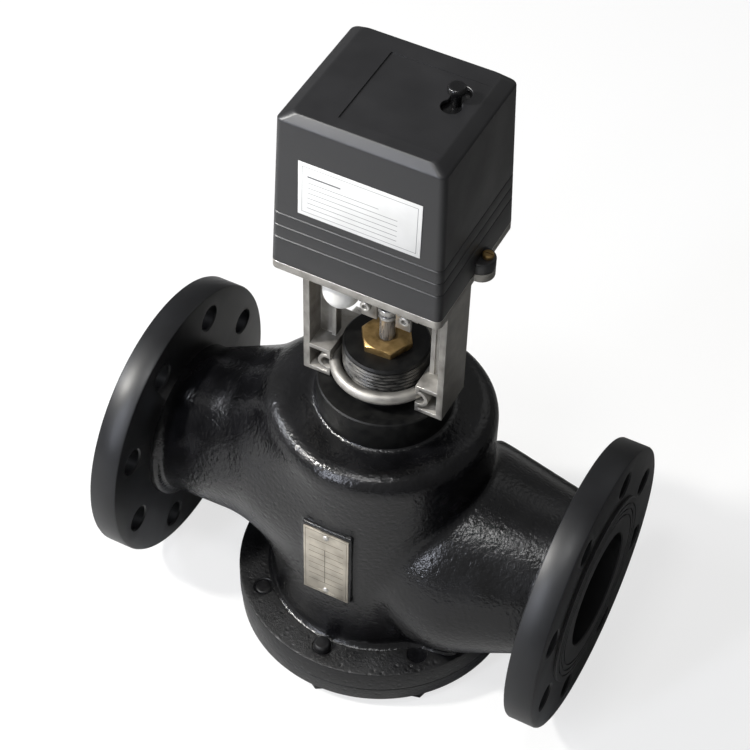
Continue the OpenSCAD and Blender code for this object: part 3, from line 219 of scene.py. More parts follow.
def onCircle(count, radius, start=0.0):  # evenly spaced places, from an angle in degrees
    turns = [math.radians(start + 360 / count * i) for i in range(count)]
    return [(radius * math.cos(a), radius * math.sin(a)) for a in turns]


# geometry trees

def geometryTree(name, inputs):
    tree = bpy.data.node_groups.new(name, "GeometryNodeTree")
    tree.interface.new_socket("Geometry", in_out="INPUT", socket_type="NodeSocketGeometry")
    for label, kind, value in inputs:
        socket = tree.interface.new_socket(label, in_out="INPUT", socket_type="NodeSocket" + kind)
        if value is not None:
            socket.default_value = value
    tree.interface.new_socket("Geometry", in_out="OUTPUT", socket_type="NodeSocketGeometry")
    return tree, tree.nodes.new("NodeGroupInput"), tree.nodes.new("NodeGroupOutput")


def runTree(obj, tree, values):
    mod = obj.modifiers.new(tree.name, "NODES")
    mod.node_group = tree
    for item in tree.interface.items_tree:
        if item.item_type == "SOCKET" and item.in_out == "INPUT" and item.name in values:
            mod[item.identifier] = values[item.name]
    return bake(obj)


def closeTree(tree, start, end, geometry):  # every tree ends alike
    real = addNode(tree, "GeometryNodeRealizeInstances", links={0: geometry})
    coated = addNode(tree, "GeometryNodeSetMaterial",
                     links={"Geometry": real.outputs[0], "Material": start.outputs["Material"]})
    tree.links.new(coated.outputs[0], end.inputs[0])


def boltTree():  # hexagon bolts put in from below, one at each point, whose tip is the point
    tree, start, end = geometryTree("boltsAtPoints", [
        ("Head radius", "Float", 0.0104), ("Head height", "Float", 0.0075),
        ("Shank radius", "Float", 0.006), ("Shank length", "Float", 0.03),
        ("Chamfer", "Float", 0.0012), ("Material", "Material", None)])
    where = addNode(tree, "GeometryNodeInputPosition")
    split = addNode(tree, "ShaderNodeSeparateXYZ", links={0: where.outputs[0]})
    angle = addNode(tree, "ShaderNodeMath", operation="ARCTAN2",
                    links={0: split.outputs[1], 1: split.outputs[0]})
    turn = addNode(tree, "ShaderNodeCombineXYZ", links={2: angle.outputs[0]})
    ground = addNode(tree, "ShaderNodeCombineXYZ", links={0: split.outputs[0], 1: split.outputs[1]})
    low = addNode(tree, "GeometryNodeSetPosition",
                  links={"Geometry": start.outputs[0], "Position": ground.outputs[0]})
    head = addNode(tree, "GeometryNodeMeshCylinder", {"Vertices": 6},
                   {"Radius": start.outputs["Head radius"], "Depth": start.outputs["Head height"]})
    halfHead = addNode(tree, "ShaderNodeMath", {1: 0.5}, {0: start.outputs["Head height"]},
                       operation="MULTIPLY")
    liftHead = addNode(tree, "ShaderNodeCombineXYZ", links={2: halfHead.outputs[0]})
    headUp = addNode(tree, "GeometryNodeTransform",
                     links={"Geometry": head.outputs["Mesh"], "Translation": liftHead.outputs[0]})
    heads = addNode(tree, "GeometryNodeInstanceOnPoints",
                    links={"Points": low.outputs[0], "Instance": headUp.outputs[0],
                           "Rotation": turn.outputs[0]})
    shank = addNode(tree, "GeometryNodeMeshCylinder", {"Vertices": 32},
                    {"Radius": start.outputs["Shank radius"], "Depth": start.outputs["Shank length"]})
    minusChamfer = addNode(tree, "ShaderNodeMath", {1: -1.0}, {0: start.outputs["Chamfer"]},
                           operation="MULTIPLY")
    halfShank = addNode(tree, "ShaderNodeMath", {1: -0.5}, operation="MULTIPLY_ADD",
                        links={0: start.outputs["Shank length"], 2: minusChamfer.outputs[0]})
    dropShank = addNode(tree, "ShaderNodeCombineXYZ", links={2: halfShank.outputs[0]})
    shankDown = addNode(tree, "GeometryNodeTransform",
                        links={"Geometry": shank.outputs["Mesh"], "Translation": dropShank.outputs[0]})
    topRadius = addNode(tree, "ShaderNodeMath", operation="SUBTRACT",
                        links={0: start.outputs["Shank radius"], 1: start.outputs["Chamfer"]})
    tip = addNode(tree, "GeometryNodeMeshCone", {"Vertices": 32},
                  {"Radius Top": topRadius.outputs[0], "Radius Bottom": start.outputs["Shank radius"],
                   "Depth": start.outputs["Chamfer"]})
    dropTip = addNode(tree, "ShaderNodeCombineXYZ", links={2: minusChamfer.outputs[0]})
    tipDown = addNode(tree, "GeometryNodeTransform",
                      links={"Geometry": tip.outputs["Mesh"], "Translation": dropTip.outputs[0]})
    whole = addNode(tree, "GeometryNodeJoinGeometry")
    tree.links.new(shankDown.outputs[0], whole.inputs[0])
    tree.links.new(tipDown.outputs[0], whole.inputs[0])
    shanks = addNode(tree, "GeometryNodeInstanceOnPoints",
                     links={"Points": start.outputs[0], "Instance": whole.outputs[0],
                            "Rotation": turn.outputs[0]})
    both = addNode(tree, "GeometryNodeJoinGeometry")
    tree.links.new(heads.outputs[0], both.inputs[0])
    tree.links.new(shanks.outputs[0], both.inputs[0])
    closeTree(tree, start, end, both.outputs[0])
    return tree


def threadTree():  # a ridge of square section, wound round the Z axis
    tree, start, end = geometryTree("screwThread", [
        ("Turns", "Float", 5.0), ("Radius", "Float", 0.027), ("Lowest", "Float", 0.25),
        ("Length", "Float", 0.01), ("Ridge", "Float", 0.0009), ("Material", "Material", None)])
    coil = addNode(tree, "GeometryNodeCurveSpiral", {"Resolution": 96},
                   {"Rotations": start.outputs["Turns"], "Start Radius": start.outputs["Radius"],
                    "End Radius": start.outputs["Radius"], "Height": start.outputs["Length"]})
    upright = addNode(tree, "GeometryNodeSetCurveNormal", links={0: coil.outputs[0]}, mode="Z_UP")
    section = addNode(tree, "GeometryNodeCurvePrimitiveCircle", {"Resolution": 4},
                      {"Radius": start.outputs["Ridge"]})
    ridge = addNode(tree, "GeometryNodeCurveToMesh", {"Fill Caps": True},
                    {"Curve": upright.outputs[0], "Profile Curve": section.outputs[0]})
    lift = addNode(tree, "ShaderNodeCombineXYZ", links={2: start.outputs["Lowest"]})
    up = addNode(tree, "GeometryNodeTransform",
                 links={"Geometry": ridge.outputs[0], "Translation": lift.outputs[0]})
    closeTree(tree, start, end, up.outputs[0])
    return tree


def rivetTree():  # low domed heads on the points, facing -Y
    tree, start, end = geometryTree("rivetsAtPoints", [
        ("Radius", "Float", 0.002), ("Rise share", "Float", 0.45), ("Material", "Material", None)])
    ball = addNode(tree, "GeometryNodeMeshUVSphere", {"Segments": 32, "Rings": 16},
                   {"Radius": start.outputs["Radius"]})
    flat = addNode(tree, "ShaderNodeCombineXYZ", {0: 1.0, 2: 1.0}, {1: start.outputs["Rise share"]})
    head = addNode(tree, "GeometryNodeTransform",
                   links={"Geometry": ball.outputs["Mesh"], "Scale": flat.outputs[0]})
    heads = addNode(tree, "GeometryNodeInstanceOnPoints",
                    links={"Points": start.outputs[0], "Instance": head.outputs[0]})
    closeTree(tree, start, end, heads.outputs[0])
    return tree


# finishes: each look gives its tones, gloss range, patch and grain sizes and relief

def startMaterial(name, metallic=0.0, ior=1.5, specular=0.5):
    mat = bpy.data.materials.new(name)
    mat.use_nodes = True
    tree = mat.node_tree
    tree.nodes.clear()
    shader = addNode(tree, "ShaderNodeBsdfPrincipled",
                     {"Metallic": metallic, "IOR": ior, "Specular IOR Level": specular})
    addNode(tree, "ShaderNodeOutputMaterial", links={0: shader.outputs[0]})
    where = addNode(tree, "ShaderNodeTexCoord").outputs["Object"]
    return mat, tree, shader, where


def setTones(tree, shader, where, look, detail=3.0, spread=(0.3, 0.7)):
    # broad clouds mix the two tones, and move the gloss between smooth and rough
    cloud = addNode(tree, "ShaderNodeTexNoise", {"Scale": 1000.0 / look["patchMm"], "Detail": detail},
                    {"Vector": where}).outputs["Fac"]
    share = addNode(tree, "ShaderNodeMapRange", {"From Min": spread[0], "From Max": spread[1]},
                    {"Value": cloud})
    tone = addNode(tree, "ShaderNodeMix", {6: toLinear(look["dark"]), 7: toLinear(look["light"])},
                   {0: share.outputs[0]}, data_type="RGBA")
    gloss = addNode(tree, "ShaderNodeMapRange", {"From Min": 0.3, "From Max": 0.7, "To Min": look["smooth"],
                                                 "To Max": look["rough"]}, {"Value": cloud})
    tree.links.new(tone.outputs[2], shader.inputs["Base Color"])
    tree.links.new(gloss.outputs[0], shader.inputs["Roughness"])
    return tone.outputs[2]


def setRelief(tree, shader, *layers):  # each layer is a height's socket and its depth
    under = {}
    for height, depthMm in layers:
        bump = addNode(tree, "ShaderNodeBump", {"Distance": depthMm * mm}, {"Height": height, **under})
        under = {"Normal": bump.outputs[0]}
    tree.links.new(bump.outputs[0], shader.inputs["Normal"])


def grained(name, look):
    mat, tree, shader, where = startMaterial(
        name, look.get("metallic", 0.0), look.get("ior", 1.5), look.get("specular", 0.5))
    if "stretch" in look:
        where = addNode(tree, "ShaderNodeMapping", {"Scale": look["stretch"]}, {0: where}).outputs[0]
    setTones(tree, shader, where, look)
    grain = addNode(tree, "ShaderNodeTexNoise", {"Scale": 1000.0 / look["grainMm"]}, {"Vector": where})
    setRelief(tree, shader, (grain.outputs["Fac"], look["depthMm"]))
    return mat


def castPaint(name, look):
    # black enamel brushed over sand-cast iron: it runs into orange peel, and the sand's pits show through
    mat, tree, shader, where = startMaterial(name, specular=look["specular"])
    setTones(tree, shader, where, look, 2.0, (0.35, 0.65))
    peel = addNode(tree, "ShaderNodeTexNoise",
                   {"Scale": 1000.0 / look["peelMm"], "Detail": 1.5, "Roughness": 0.45}, {"Vector": where})
    sand = addNode(tree, "ShaderNodeTexNoise",
                   {"Scale": 1000.0 / look["sandMm"], "Roughness": 0.55}, {"Vector": where})
    cells = addNode(tree, "ShaderNodeTexVoronoi", {"Scale": 1000.0 / look["pitMm"]}, {"Vector": where})
    pits = addNode(tree, "ShaderNodeMapRange", {"From Min": 0.05, "From Max": 0.35},
                   {"Value": cells.outputs["Distance"]})
    setRelief(tree, shader, (peel.outputs["Fac"], look["peelDepthMm"]), (pits.outputs[0], look["pitDepthMm"]),
              (sand.outputs["Fac"], look["sandDepthMm"]))
    return mat


def turnedBlack(name, look):
    # flange faces turned on a lathe and sprayed black: satin, with the fine rings of the tool
    mat, tree, shader, where = startMaterial(name, specular=look["specular"])
    setTones(tree, shader, where, look)
    split = addNode(tree, "ShaderNodeSeparateXYZ", links={0: where})
    high = addNode(tree, "ShaderNodeMath", {1: look["axisZmm"] * mm}, {0: split.outputs[2]},
                   operation="SUBTRACT")
    flat = addNode(tree, "ShaderNodeCombineXYZ", links={0: split.outputs[1], 1: high.outputs[0]})
    radius = addNode(tree, "ShaderNodeVectorMath", operation="LENGTH", links={0: flat.outputs[0]})
    turns = addNode(tree, "ShaderNodeMath", {1: 2 * math.pi / (look["ringMm"] * mm)},
                    {0: radius.outputs["Value"]}, operation="MULTIPLY")
    rings = addNode(tree, "ShaderNodeMath", operation="SINE", links={0: turns.outputs[0]})
    grit = addNode(tree, "ShaderNodeTexNoise", {"Scale": 1000.0 / look["gritMm"]}, {"Vector": where})
    setRelief(tree, shader, (rings.outputs[0], look["ringDepthMm"]),
              (grit.outputs["Fac"], look["gritDepthMm"]))
    return mat


castLook = dict(  # deep gloss, whose highlights break up over the bumps
    dark="#060607", light="#0e0e10", smooth=0.17, rough=0.29, specular=0.46, patchMm=22.0,
    peelMm=3.0, peelDepthMm=0.3, sandMm=1.2, sandDepthMm=0.17, pitMm=5.5, pitDepthMm=0.14)
paintedCast = castPaint("blackEnamelOnSandCastIron", castLook)
flangeCast = castPaint("blackEnamelOnCoarseFlangeCasting", dict(  # duller, as the paint sinks into coarse sand
    castLook, dark="#09090a", light="#121213", smooth=0.34, rough=0.48, peelMm=2.0, peelDepthMm=0.22,
    pitDepthMm=0.25))
flangeSatin = turnedBlack("satinBlackTurnedFlange", dict(
    dark="#101012", light="#18191b", smooth=0.34, rough=0.44, specular=0.42, patchMm=40.0, axisZmm=107.0,
    ringMm=1.6, ringDepthMm=0.006, gritMm=0.7, gritDepthMm=0.03))

dieCast = grained("satinDieCastAlloy", dict(  # pressure die casting: pale grey, soft sheen, faint flow marks
    metallic=0.7, dark="#85827d", light="#aba8a2", smooth=0.42, rough=0.6, patchMm=9.0, grainMm=0.9,
    depthMm=0.05))
dieCastEdgeHighlight = grained("dieCastPaintedEdgeHighlight", dict(  # a paler, glossier copy of the die-cast finish on the broken edges: a painted edge highlight
    metallic=0.9, dark="#cfcdc8", light="#e6e4df", smooth=0.28, rough=0.4, patchMm=6.0, grainMm=0.6,
    depthMm=0.02))
platedWire = grained("dullZincPlatedSteel", dict(  # dipped bar: even pale grey with a soft highlight
    metallic=0.8, dark="#918e89", light="#aba8a2", smooth=0.44, rough=0.56, patchMm=9.0, grainMm=0.7,
    depthMm=0.03))
groundSteel = grained("groundStemSteel", dict(  # centreless ground: bright, with fine rings round the bar
    metallic=1.0, dark="#8e8d8b", light="#c9c8c5", smooth=0.16, rough=0.3, patchMm=7.0, grainMm=0.5,
    depthMm=0.008, stretch=(1.0, 1.0, 8.0)))
neckBlack = grained("machinedBlackPaint", dict(  # flat black over turned faces, so only the edges catch light
    dark="#09090a", light="#141413", smooth=0.34, rough=0.5, patchMm=6.0, grainMm=0.9, depthMm=0.05,
    specular=0.22))
wornThread = grained("blackenedThreadWornGrey", dict(  # crests of the thread are scuffed to bare grey
    metallic=0.35, dark="#161615", light="#5c5a56", smooth=0.26, rough=0.42, patchMm=3.0, grainMm=0.8,
    depthMm=0.06, stretch=(0.5, 0.5, 2.6), specular=0.4))
brightSteel = grained("steelStemPaintedReflectionStreaks", dict(  # bright bar, its colour painted with long streaks of reflection of the nut and the neck
    metallic=0.55, dark="#7d7e80", light="#b9babb", smooth=0.22, rough=0.36, patchMm=3.0, grainMm=0.7,
    depthMm=0.01, stretch=(3.0, 3.0, 0.3)))
screwSteel = grained("zincPlatedScrews", dict(  # small bright glints with a white cast
    metallic=0.8, dark="#a8a6a2", light="#d0cec9", smooth=0.26, rough=0.42, patchMm=4.0, grainMm=0.5,
    depthMm=0.015))
brass = grained("milledBrass", dict(  # free-cutting brass, dulled by handling
    metallic=0.75, dark="#82693f", light="#a98c5c", smooth=0.3, rough=0.46, patchMm=5.0, grainMm=0.6,
    depthMm=0.015))
brassEdgeHighlight = grained("brassPaintedEdgeHighlight", dict(  # a pale gold line along each broken edge: a painted edge highlight
    metallic=1.0, dark="#cfb07a", light="#ecd3a2", smooth=0.2, rough=0.32, patchMm=4.0, grainMm=0.5,
    depthMm=0.01))
blackSteel = grained("oilBlackenedSteel", dict(  # black oxide with an oil film: dark, with a thin sheen
    dark="#0b0b0c", light="#161617", smooth=0.34, rough=0.5, patchMm=5.0, grainMm=0.8, depthMm=0.03,
    specular=0.3))
mouldedBlack = grained("grainedBlackAbs", dict(  # injection-moulded over a spark-eroded grain: even, soft gloss
    dark="#131315", light="#19191b", smooth=0.38, rough=0.48, patchMm=30.0, grainMm=0.7, depthMm=0.03,
    ior=1.54, specular=0.6))
mouldedGloss = grained("polishedBlackAbs", dict(  # from a polished mould: darker, with sharp highlights
    dark="#0c0c0d", light="#121213", smooth=0.24, rough=0.32, patchMm=10.0, grainMm=0.9, depthMm=0.01,
    ior=1.54, specular=0.35))
nylonWhite = grained("mouldedWhiteNylon", dict(  # milky white with a waxy sheen
    dark="#dedcd6", light="#efeeea", smooth=0.34, rough=0.46, patchMm=12.0, grainMm=1.0, depthMm=0.02,
    ior=1.53))
bronze = grained("sinteredBronze", dict(  # pressed powder: brown, open-grained and dull
    metallic=1.0, dark="#7d5a36", light="#a57c4c", smooth=0.4, rough=0.55, patchMm=4.0, grainMm=0.5,
    depthMm=0.02))
stainless = grained("turnedStainless", dict(  # cool grey with a clear sheen
    metallic=1.0, dark="#8f9091", light="#b9babb", smooth=0.22, rough=0.36, patchMm=9.0, grainMm=0.6,
    depthMm=0.01))
springSteel = grained("oilTemperedSpringSteel", dict(  # dark blue-grey scale that still shines
    metallic=1.0, dark="#3b3c3e", light="#595a5c", smooth=0.3, rough=0.42, patchMm=6.0, grainMm=0.6,
    depthMm=0.015))
rubber = grained("mouldedNitrileRubber", dict(  # matt black that swallows light
    dark="#101011", light="#1a1a1b", smooth=0.6, rough=0.72, patchMm=8.0, grainMm=0.7, depthMm=0.03,
    ior=1.52))
boardGreen = grained("solderMaskGreen", dict(  # lacquered board: deep green under a clear gloss
    dark="#0d3a24", light="#155235", smooth=0.3, rough=0.42, patchMm=6.0, grainMm=0.8, depthMm=0.02))
terminalGreen = grained("mouldedGreenPolyamide", dict(  # flat mid green
    dark="#1d5c3c", light="#287150", smooth=0.42, rough=0.55, patchMm=8.0, grainMm=0.7, depthMm=0.02))
camOrange = grained("mouldedOrangeAcetal", dict(  # slippery plastic: clear orange, half gloss
    dark="#c8621a", light="#dd7d2d", smooth=0.35, rough=0.48, patchMm=8.0, grainMm=0.7, depthMm=0.02,
    ior=1.48))
print("finishes made")

# cast body: a distance field, so that every joint gets the caster's fillet

body = dict(axisZ=107.0, barrelR=74.5, shoulderZ=211.5, shoulderR=13.0, bossR=43.5, bossZ=231.0, bossRim=2.2,
            baseZ=39.0, baseR=99.0, jointZ=21.0, leftFace=-173.0, rightFace=161.0, hubR=50.0, hubRing=6.0,
            hubSpan=(14.0, 28.0), hubRim=3.0, hubFrom=22.0, rimRoot=12.0, boreR=40.0,
            leftIn=(-60.0, 138.0, 64.0), rightIn=(62.0, 94.0, 73.0),  # x, z and radius inside the barrel
            leftFillet=34.0, rightFillet=6.0, bossFillet=3.0, baseFillet=8.0, smallFillet=2.5, voxel=2.1,
            low=(-166.0, -106.0, 14.0), high=(154.0, 106.0, 240.0))
impulseRib = dict(tilt=38.8, startR=70.5, endR=47.5, r=(5.0, 5.01), fillet=4.0)
padRoot = dict(centre=(-1.2, -60.0, 124.0), half=(17.0, 16.0, 33.5), rim=0.5)
waterway = dict(boreGap=0.4, straight=30.0, lap=2.0, slopes=(27.7, -29.6), slopedR=34.0, slopedRim=6.0,
                slopedFillet=8.0, chamberR=58.0, webTop=121.0, roofT=12.5, roofR=12.0, webFillet=6.0,
                seatR=38.0, seatZ=(95.0, 132.0), neckR=26.5, neckZ=(190.0, 250.0))


def smoothUnion(a, b, k):
    h = np.maximum(k - np.abs(a - b), 0.0) / k
    return np.minimum(a, b) - h * h * k / 4


def smoothCut(a, b, k):
    return -smoothUnion(-a, b, k)


def roundedDisc(radial, along, r, low, high, rim):  # distance to a disc or drum with rounded rims
    qx = radial - (r - rim)
    qy = np.abs(along - (low + high) / 2) - ((high - low) / 2 - rim)
    return np.hypot(np.maximum(qx, 0), np.maximum(qy, 0)) + np.minimum(np.maximum(qx, qy), 0) - rim


def roundCone(x, y, z, a, b, r1, r2):  # distance to two balls and the cone that touches both
    ba = np.array(b, float) - np.array(a, float)
    l2 = float(ba @ ba)
    rr = r1 - r2
    a2 = l2 - rr * rr
    px, py, pz = x - a[0], y - a[1], z - a[2]
    along = px * ba[0] + py * ba[1] + pz * ba[2]
    beyond = along - l2
    x2 = (px * l2 - ba[0] * along) ** 2 + (py * l2 - ba[1] * along) ** 2 + (pz * l2 - ba[2] * along) ** 2
    k = np.sign(rr) * rr * rr * x2
    side = (np.sqrt(x2 * a2 / l2) + along * rr) / l2 - r1
    far = np.sqrt(x2 + beyond ** 2 * l2) / l2 - r2
    near = np.sqrt(x2 + along ** 2 * l2) / l2 - r1
    return np.where(np.sign(beyond) * a2 * beyond ** 2 * l2 > k, far,
                    np.where(np.sign(along) * a2 * along ** 2 * l2 < k, near, side))


def castOutside(x, y, z, radial, pipe):
    b, r, p = body, impulseRib, padRoot
    solid = roundedDisc(radial, z, b["barrelR"], b["jointZ"] + 1, b["shoulderZ"], b["shoulderR"])
    boss = roundedDisc(radial, z, b["bossR"], b["shoulderZ"] - 20, b["bossZ"], b["bossRim"])
    solid = smoothUnion(solid, boss, b["bossFillet"])
    lx, lz, lr = b["leftIn"]
    left = roundCone(x, y, z, (b["leftFace"] + b["hubFrom"], 0, b["axisZ"]), (lx, 0, lz), b["hubR"] - 1, lr)
    rx, rz, rr = b["rightIn"]
    right = roundCone(x, y, z, (b["rightFace"] - b["hubFrom"], 0, b["axisZ"]), (rx, 0, rz), b["hubR"] + 1, rr)
    lean = math.radians(90 - r["tilt"])  # the rib runs along the back of the outlet branch
    start = (rx, r["startR"] * math.sin(lean), rz + r["startR"] * math.cos(lean))
    end = (b["rightFace"] - b["rimRoot"], r["endR"] * math.sin(lean), b["axisZ"] + r["endR"] * math.cos(lean))
    right = smoothUnion(right, roundCone(x, y, z, start, end, *r["r"]), r["fillet"])
    solid = smoothUnion(solid, left, b["leftFillet"])
    solid = smoothUnion(solid, right, b["rightFillet"])
    base = roundedDisc(radial, z, b["baseR"] - 2, b["jointZ"] + 1.5, b["baseZ"] - 0.7, 1.5)
    solid = smoothUnion(solid, base, b["baseFillet"])
    for face, side in ((b["leftFace"], 1), (b["rightFace"], -1)):  # hub ring, and its root inside the rim
        hub = roundedDisc(pipe, (x - face) * side, b["hubR"] + b["hubRing"], *b["hubSpan"], b["hubRim"])
        solid = smoothUnion(solid, hub, b["smallFillet"])
    q = [np.abs(value - middle) - half for value, middle, half in zip((x, y, z), p["centre"], p["half"])]
    pad = np.sqrt(sum(np.maximum(c, 0) ** 2 for c in q))
    pad = pad + np.minimum(np.maximum(q[0], np.maximum(q[1], q[2])), 0) - p["rim"]
    solid = smoothUnion(solid, pad, b["smallFillet"])
    solid = np.maximum(solid, b["leftFace"] + b["rimRoot"] - x)
    solid = np.maximum(solid, x - (b["rightFace"] - b["rimRoot"]))
    return np.maximum(solid, b["jointZ"] + 1.0 - z)


def castInside(x, y, z, radial, pipe):  # straight bores, then the sloping passages and the two chambers
    b, w = body, waterway
    mouth = w["straight"] + w["lap"]
    hollow = pipe - (b["boreR"] + w["boreGap"])
    hollow = np.maximum(hollow, np.minimum(x - (b["leftFace"] + mouth), (b["rightFace"] - mouth) - x))
    for face, side, slope in zip((b["leftFace"], b["rightFace"]), (1, -1), w["slopes"]):
        c, s = math.cos(math.radians(slope)), math.sin(math.radians(slope))
        inner = (x - (face + side * w["straight"])) * side
        along = inner * c + (z - b["axisZ"]) * s
        across = np.hypot(y, -inner * s + (z - b["axisZ"]) * c)
        run = abs(face) - w["straight"] - w["chamberR"] / 3 - 8
        passage = roundedDisc(across, along, w["slopedR"], -10.0, run, w["slopedRim"])
        hollow = smoothUnion(hollow, passage, w["slopedFillet"])
    upper = roundedDisc(radial, z, w["chamberR"], w["webTop"], b["shoulderZ"] - w["roofT"], w["roofR"])
    lower = roundedDisc(radial, z, w["chamberR"], b["jointZ"] - 30.0, b["axisZ"], 3.0)
    hollow = smoothUnion(np.minimum(upper, lower), hollow, w["webFillet"])
    hollow = np.minimum(hollow, roundedDisc(radial, z, w["seatR"], *w["seatZ"], 0.5))
    return np.minimum(hollow, roundedDisc(radial, z, w["neckR"], *w["neckZ"], 0.5))


def castBodyMesh():
    step = body["voxel"]
    low, high = np.array(body["low"]), np.array(body["high"])
    counts = ((high - low) / step).astype(int) + 1
    lines = [low[i] + step * np.arange(counts[i], dtype=np.float32) for i in range(3)]
    x, y, z = np.meshgrid(*lines, indexing="ij")
    radial = np.hypot(x, y)
    pipe = np.hypot(y, z - body["axisZ"])
    solid, hollow = castOutside(x, y, z, radial, pipe), castInside(x, y, z, radial, pipe)
    field = smoothCut(solid, hollow, body["smallFillet"])
    field[[0, -1], :, :] = field[:, [0, -1], :] = field[:, :, [0, -1]] = step * 3
    grid = openvdb.FloatGrid(step * 3)
    grid.copyFromArray(np.clip(field, -step * 3, step * 3).astype(np.float32))
    points, triangles, quads = grid.convertToPolygons(0.0, 0.0)
    points = points * step + low
    mesh = bpy.data.meshes.new("castBody")
    mesh.from_pydata((points * mm).tolist(), [], quads.tolist() + triangles.tolist())
    return cleanUp(mesh, 0.0000001)


castBody = newObject("castBody", castBodyMesh())
castBody.data.shade_smooth()
dressed(castBody, paintedCast, "housing", "body_casting", "valve_body")
print("cast body:", len(castBody.data.polygons), "faces")

# port flanges, turned and drilled

portFlange = dict(outerR=100.0, faceR=66.0, faceRise=2.0, rimT=20.0, edge=1.4, grooves=(54.0, 58.0, 62.0),
                  grooveW=1.0, grooveT=0.8, holes=8, holeR=dict(inlet=9.0, outlet=9.3), pitchR=80.0,
                  chamfer=1.0)


def makeFlange(port, face, side):
    f = portFlange
    back, edge, c, holeR = f["faceRise"] + f["rimT"], f["edge"], f["chamfer"], f["holeR"][port]
    profile = [(body["boreR"], 0.8), (body["boreR"] + 0.8, 0.0)]
    for r in f["grooves"]:
        profile += [(r - f["grooveW"], 0.0), (r - f["grooveW"], f["grooveT"]), (r, f["grooveT"]), (r, 0.0)]
    profile += [(f["faceR"] - 0.4, 0.0), (f["faceR"], 0.4), (f["faceR"], f["faceRise"]),
                (f["outerR"] - edge, f["faceRise"]), (f["outerR"] - edge * 0.35, f["faceRise"] + edge * 0.3),
                (f["outerR"], f["faceRise"] + edge), (f["outerR"], back - edge),
                (f["outerR"] - edge * 0.35, back - edge * 0.3), (f["outerR"] - edge, back),
                (body["boreR"] + 6, back), (body["boreR"], back - 1)]
    flange = lathe(port + "Flange", profile, "X", (face, 0, body["axisZ"]), 160, True, side)
    drill = [(0, -2), (holeR + c + 4 - f["faceRise"], -2), (holeR + c, f["faceRise"]),
             (holeR, f["faceRise"] + c), (holeR, back - c), (holeR + c, back), (holeR + c + 2, back + 2),
             (0, back + 2)]
    cut(flange, joined([lathe("hole", drill, "X", (face, y, body["axisZ"] + z), 48, False, side)
                        for y, z in onCircle(f["holes"], f["pitchR"], 180 / f["holes"])]))
    return shade(flange, 30)


for port, face, side in (("inlet", body["leftFace"], 1), ("outlet", body["rightFace"], -1)):
    dressed(makeFlange(port, face, side), flangeSatin, "housing", "body_casting", "valve_body")

# bottom flange with its tapped holes, the pad under the nameplate, the bottom cover and its bolts

bottomFlange = dict(r=99.0, innerR=70.0, low=21.0, top=39.0)
f = bottomFlange  # the upper edge is worn rounder than the lower one
baseFlange = lathe("baseFlange", [
    (f["innerR"], f["top"]), (f["r"] - 1.8, f["top"]), (f["r"] - 0.5, f["top"] - 0.5), (f["r"], f["top"] - 1.4),
    (f["r"], f["low"] + 1.2), (f["r"] - 0.8, f["low"] + 0.3), (f["r"] - 1.5, f["low"]),
    (f["innerR"], f["low"])], "Z", segments=192, closed=True)
tapped = dict(count=8, pitchR=85.0, r=6.05, mouthR=7.4, low=20, mouthLow=37.6, mouthTop=39.2, top=41)
t = tapped
drill = [(0, t["low"]), (t["r"], t["low"]), (t["r"], t["mouthLow"]), (t["mouthR"], t["mouthTop"]),
         (t["mouthR"], t["top"]), (0, t["top"])]
boltPlaces = onCircle(t["count"], t["pitchR"])
cut(baseFlange, joined([lathe("tapped", drill, "Z", (x, y, 0), 40) for x, y in boltPlaces]))
dressed(shade(baseFlange, 30), flangeCast, "housing", "body_casting", "valve_body")

padBox = dict(low=(-19.2, -77.0, 89.5), high=(16.8, -66.0, 158.5), edge=1.4)
pad = breakEdges(boxMesh("nameplatePad", padBox["low"], padBox["high"]), padBox["edge"], 3)
dressed(shade(pad, 40), paintedCast, "housing", "body_casting", "valve_body")

lowerCover = dict(r=98.0, low=7.5, top=20.8, bossR=20.0, bossEdge=1.0)
k = lowerCover
bottomCover = lathe("bottomCover", [
    (0, 0), (k["bossR"] - k["bossEdge"], 0), (k["bossR"], k["bossEdge"]), (k["bossR"], k["low"]),
    (k["r"] - 2, k["low"]), (k["r"] - 0.6, k["low"] + 0.5), (k["r"], k["low"] + 1.7), (k["r"], k["top"] - 1.2),
    (k["r"] - 0.8, k["top"] - 0.2), (k["r"] - 1.4, k["top"]), (0, k["top"])], "Z", segments=192)
dressed(shade(bottomCover, 30), flangeCast, "housing", "body_casting", "bottom_cover")

bolts = dict(acrossFlats=18.0, headH=7.5, r=6.0, length=26.0, chamfer=1.2, edge=0.4,
             tips=(37.0, 39.0, 42.0, 39.0, 37.0, 39.0, 44.0, 34.5))  # some are screwed in further than others
boltPoints = meshFrom("coverBolts", [(x, y, tip) for (x, y), tip in zip(boltPlaces, bolts["tips"])], [])
coverBolts = newObject("coverBolts", boltPoints)
runTree(coverBolts, boltTree(), {
    "Head radius": bolts["acrossFlats"] / math.sqrt(3) * mm, "Head height": bolts["headH"] * mm,
    "Shank radius": bolts["r"] * mm, "Shank length": bolts["length"] * mm, "Chamfer": bolts["chamfer"] * mm,
    "Material": blackSteel})
breakEdges(coverBolts, bolts["edge"])
dressed(shade(coverBolts, 30), blackSteel, "housing", "black_steel", "cover_bolts")
print("casting, flanges and bolts made")

# neck, its thread and the boss below it, the packing nut and the stem

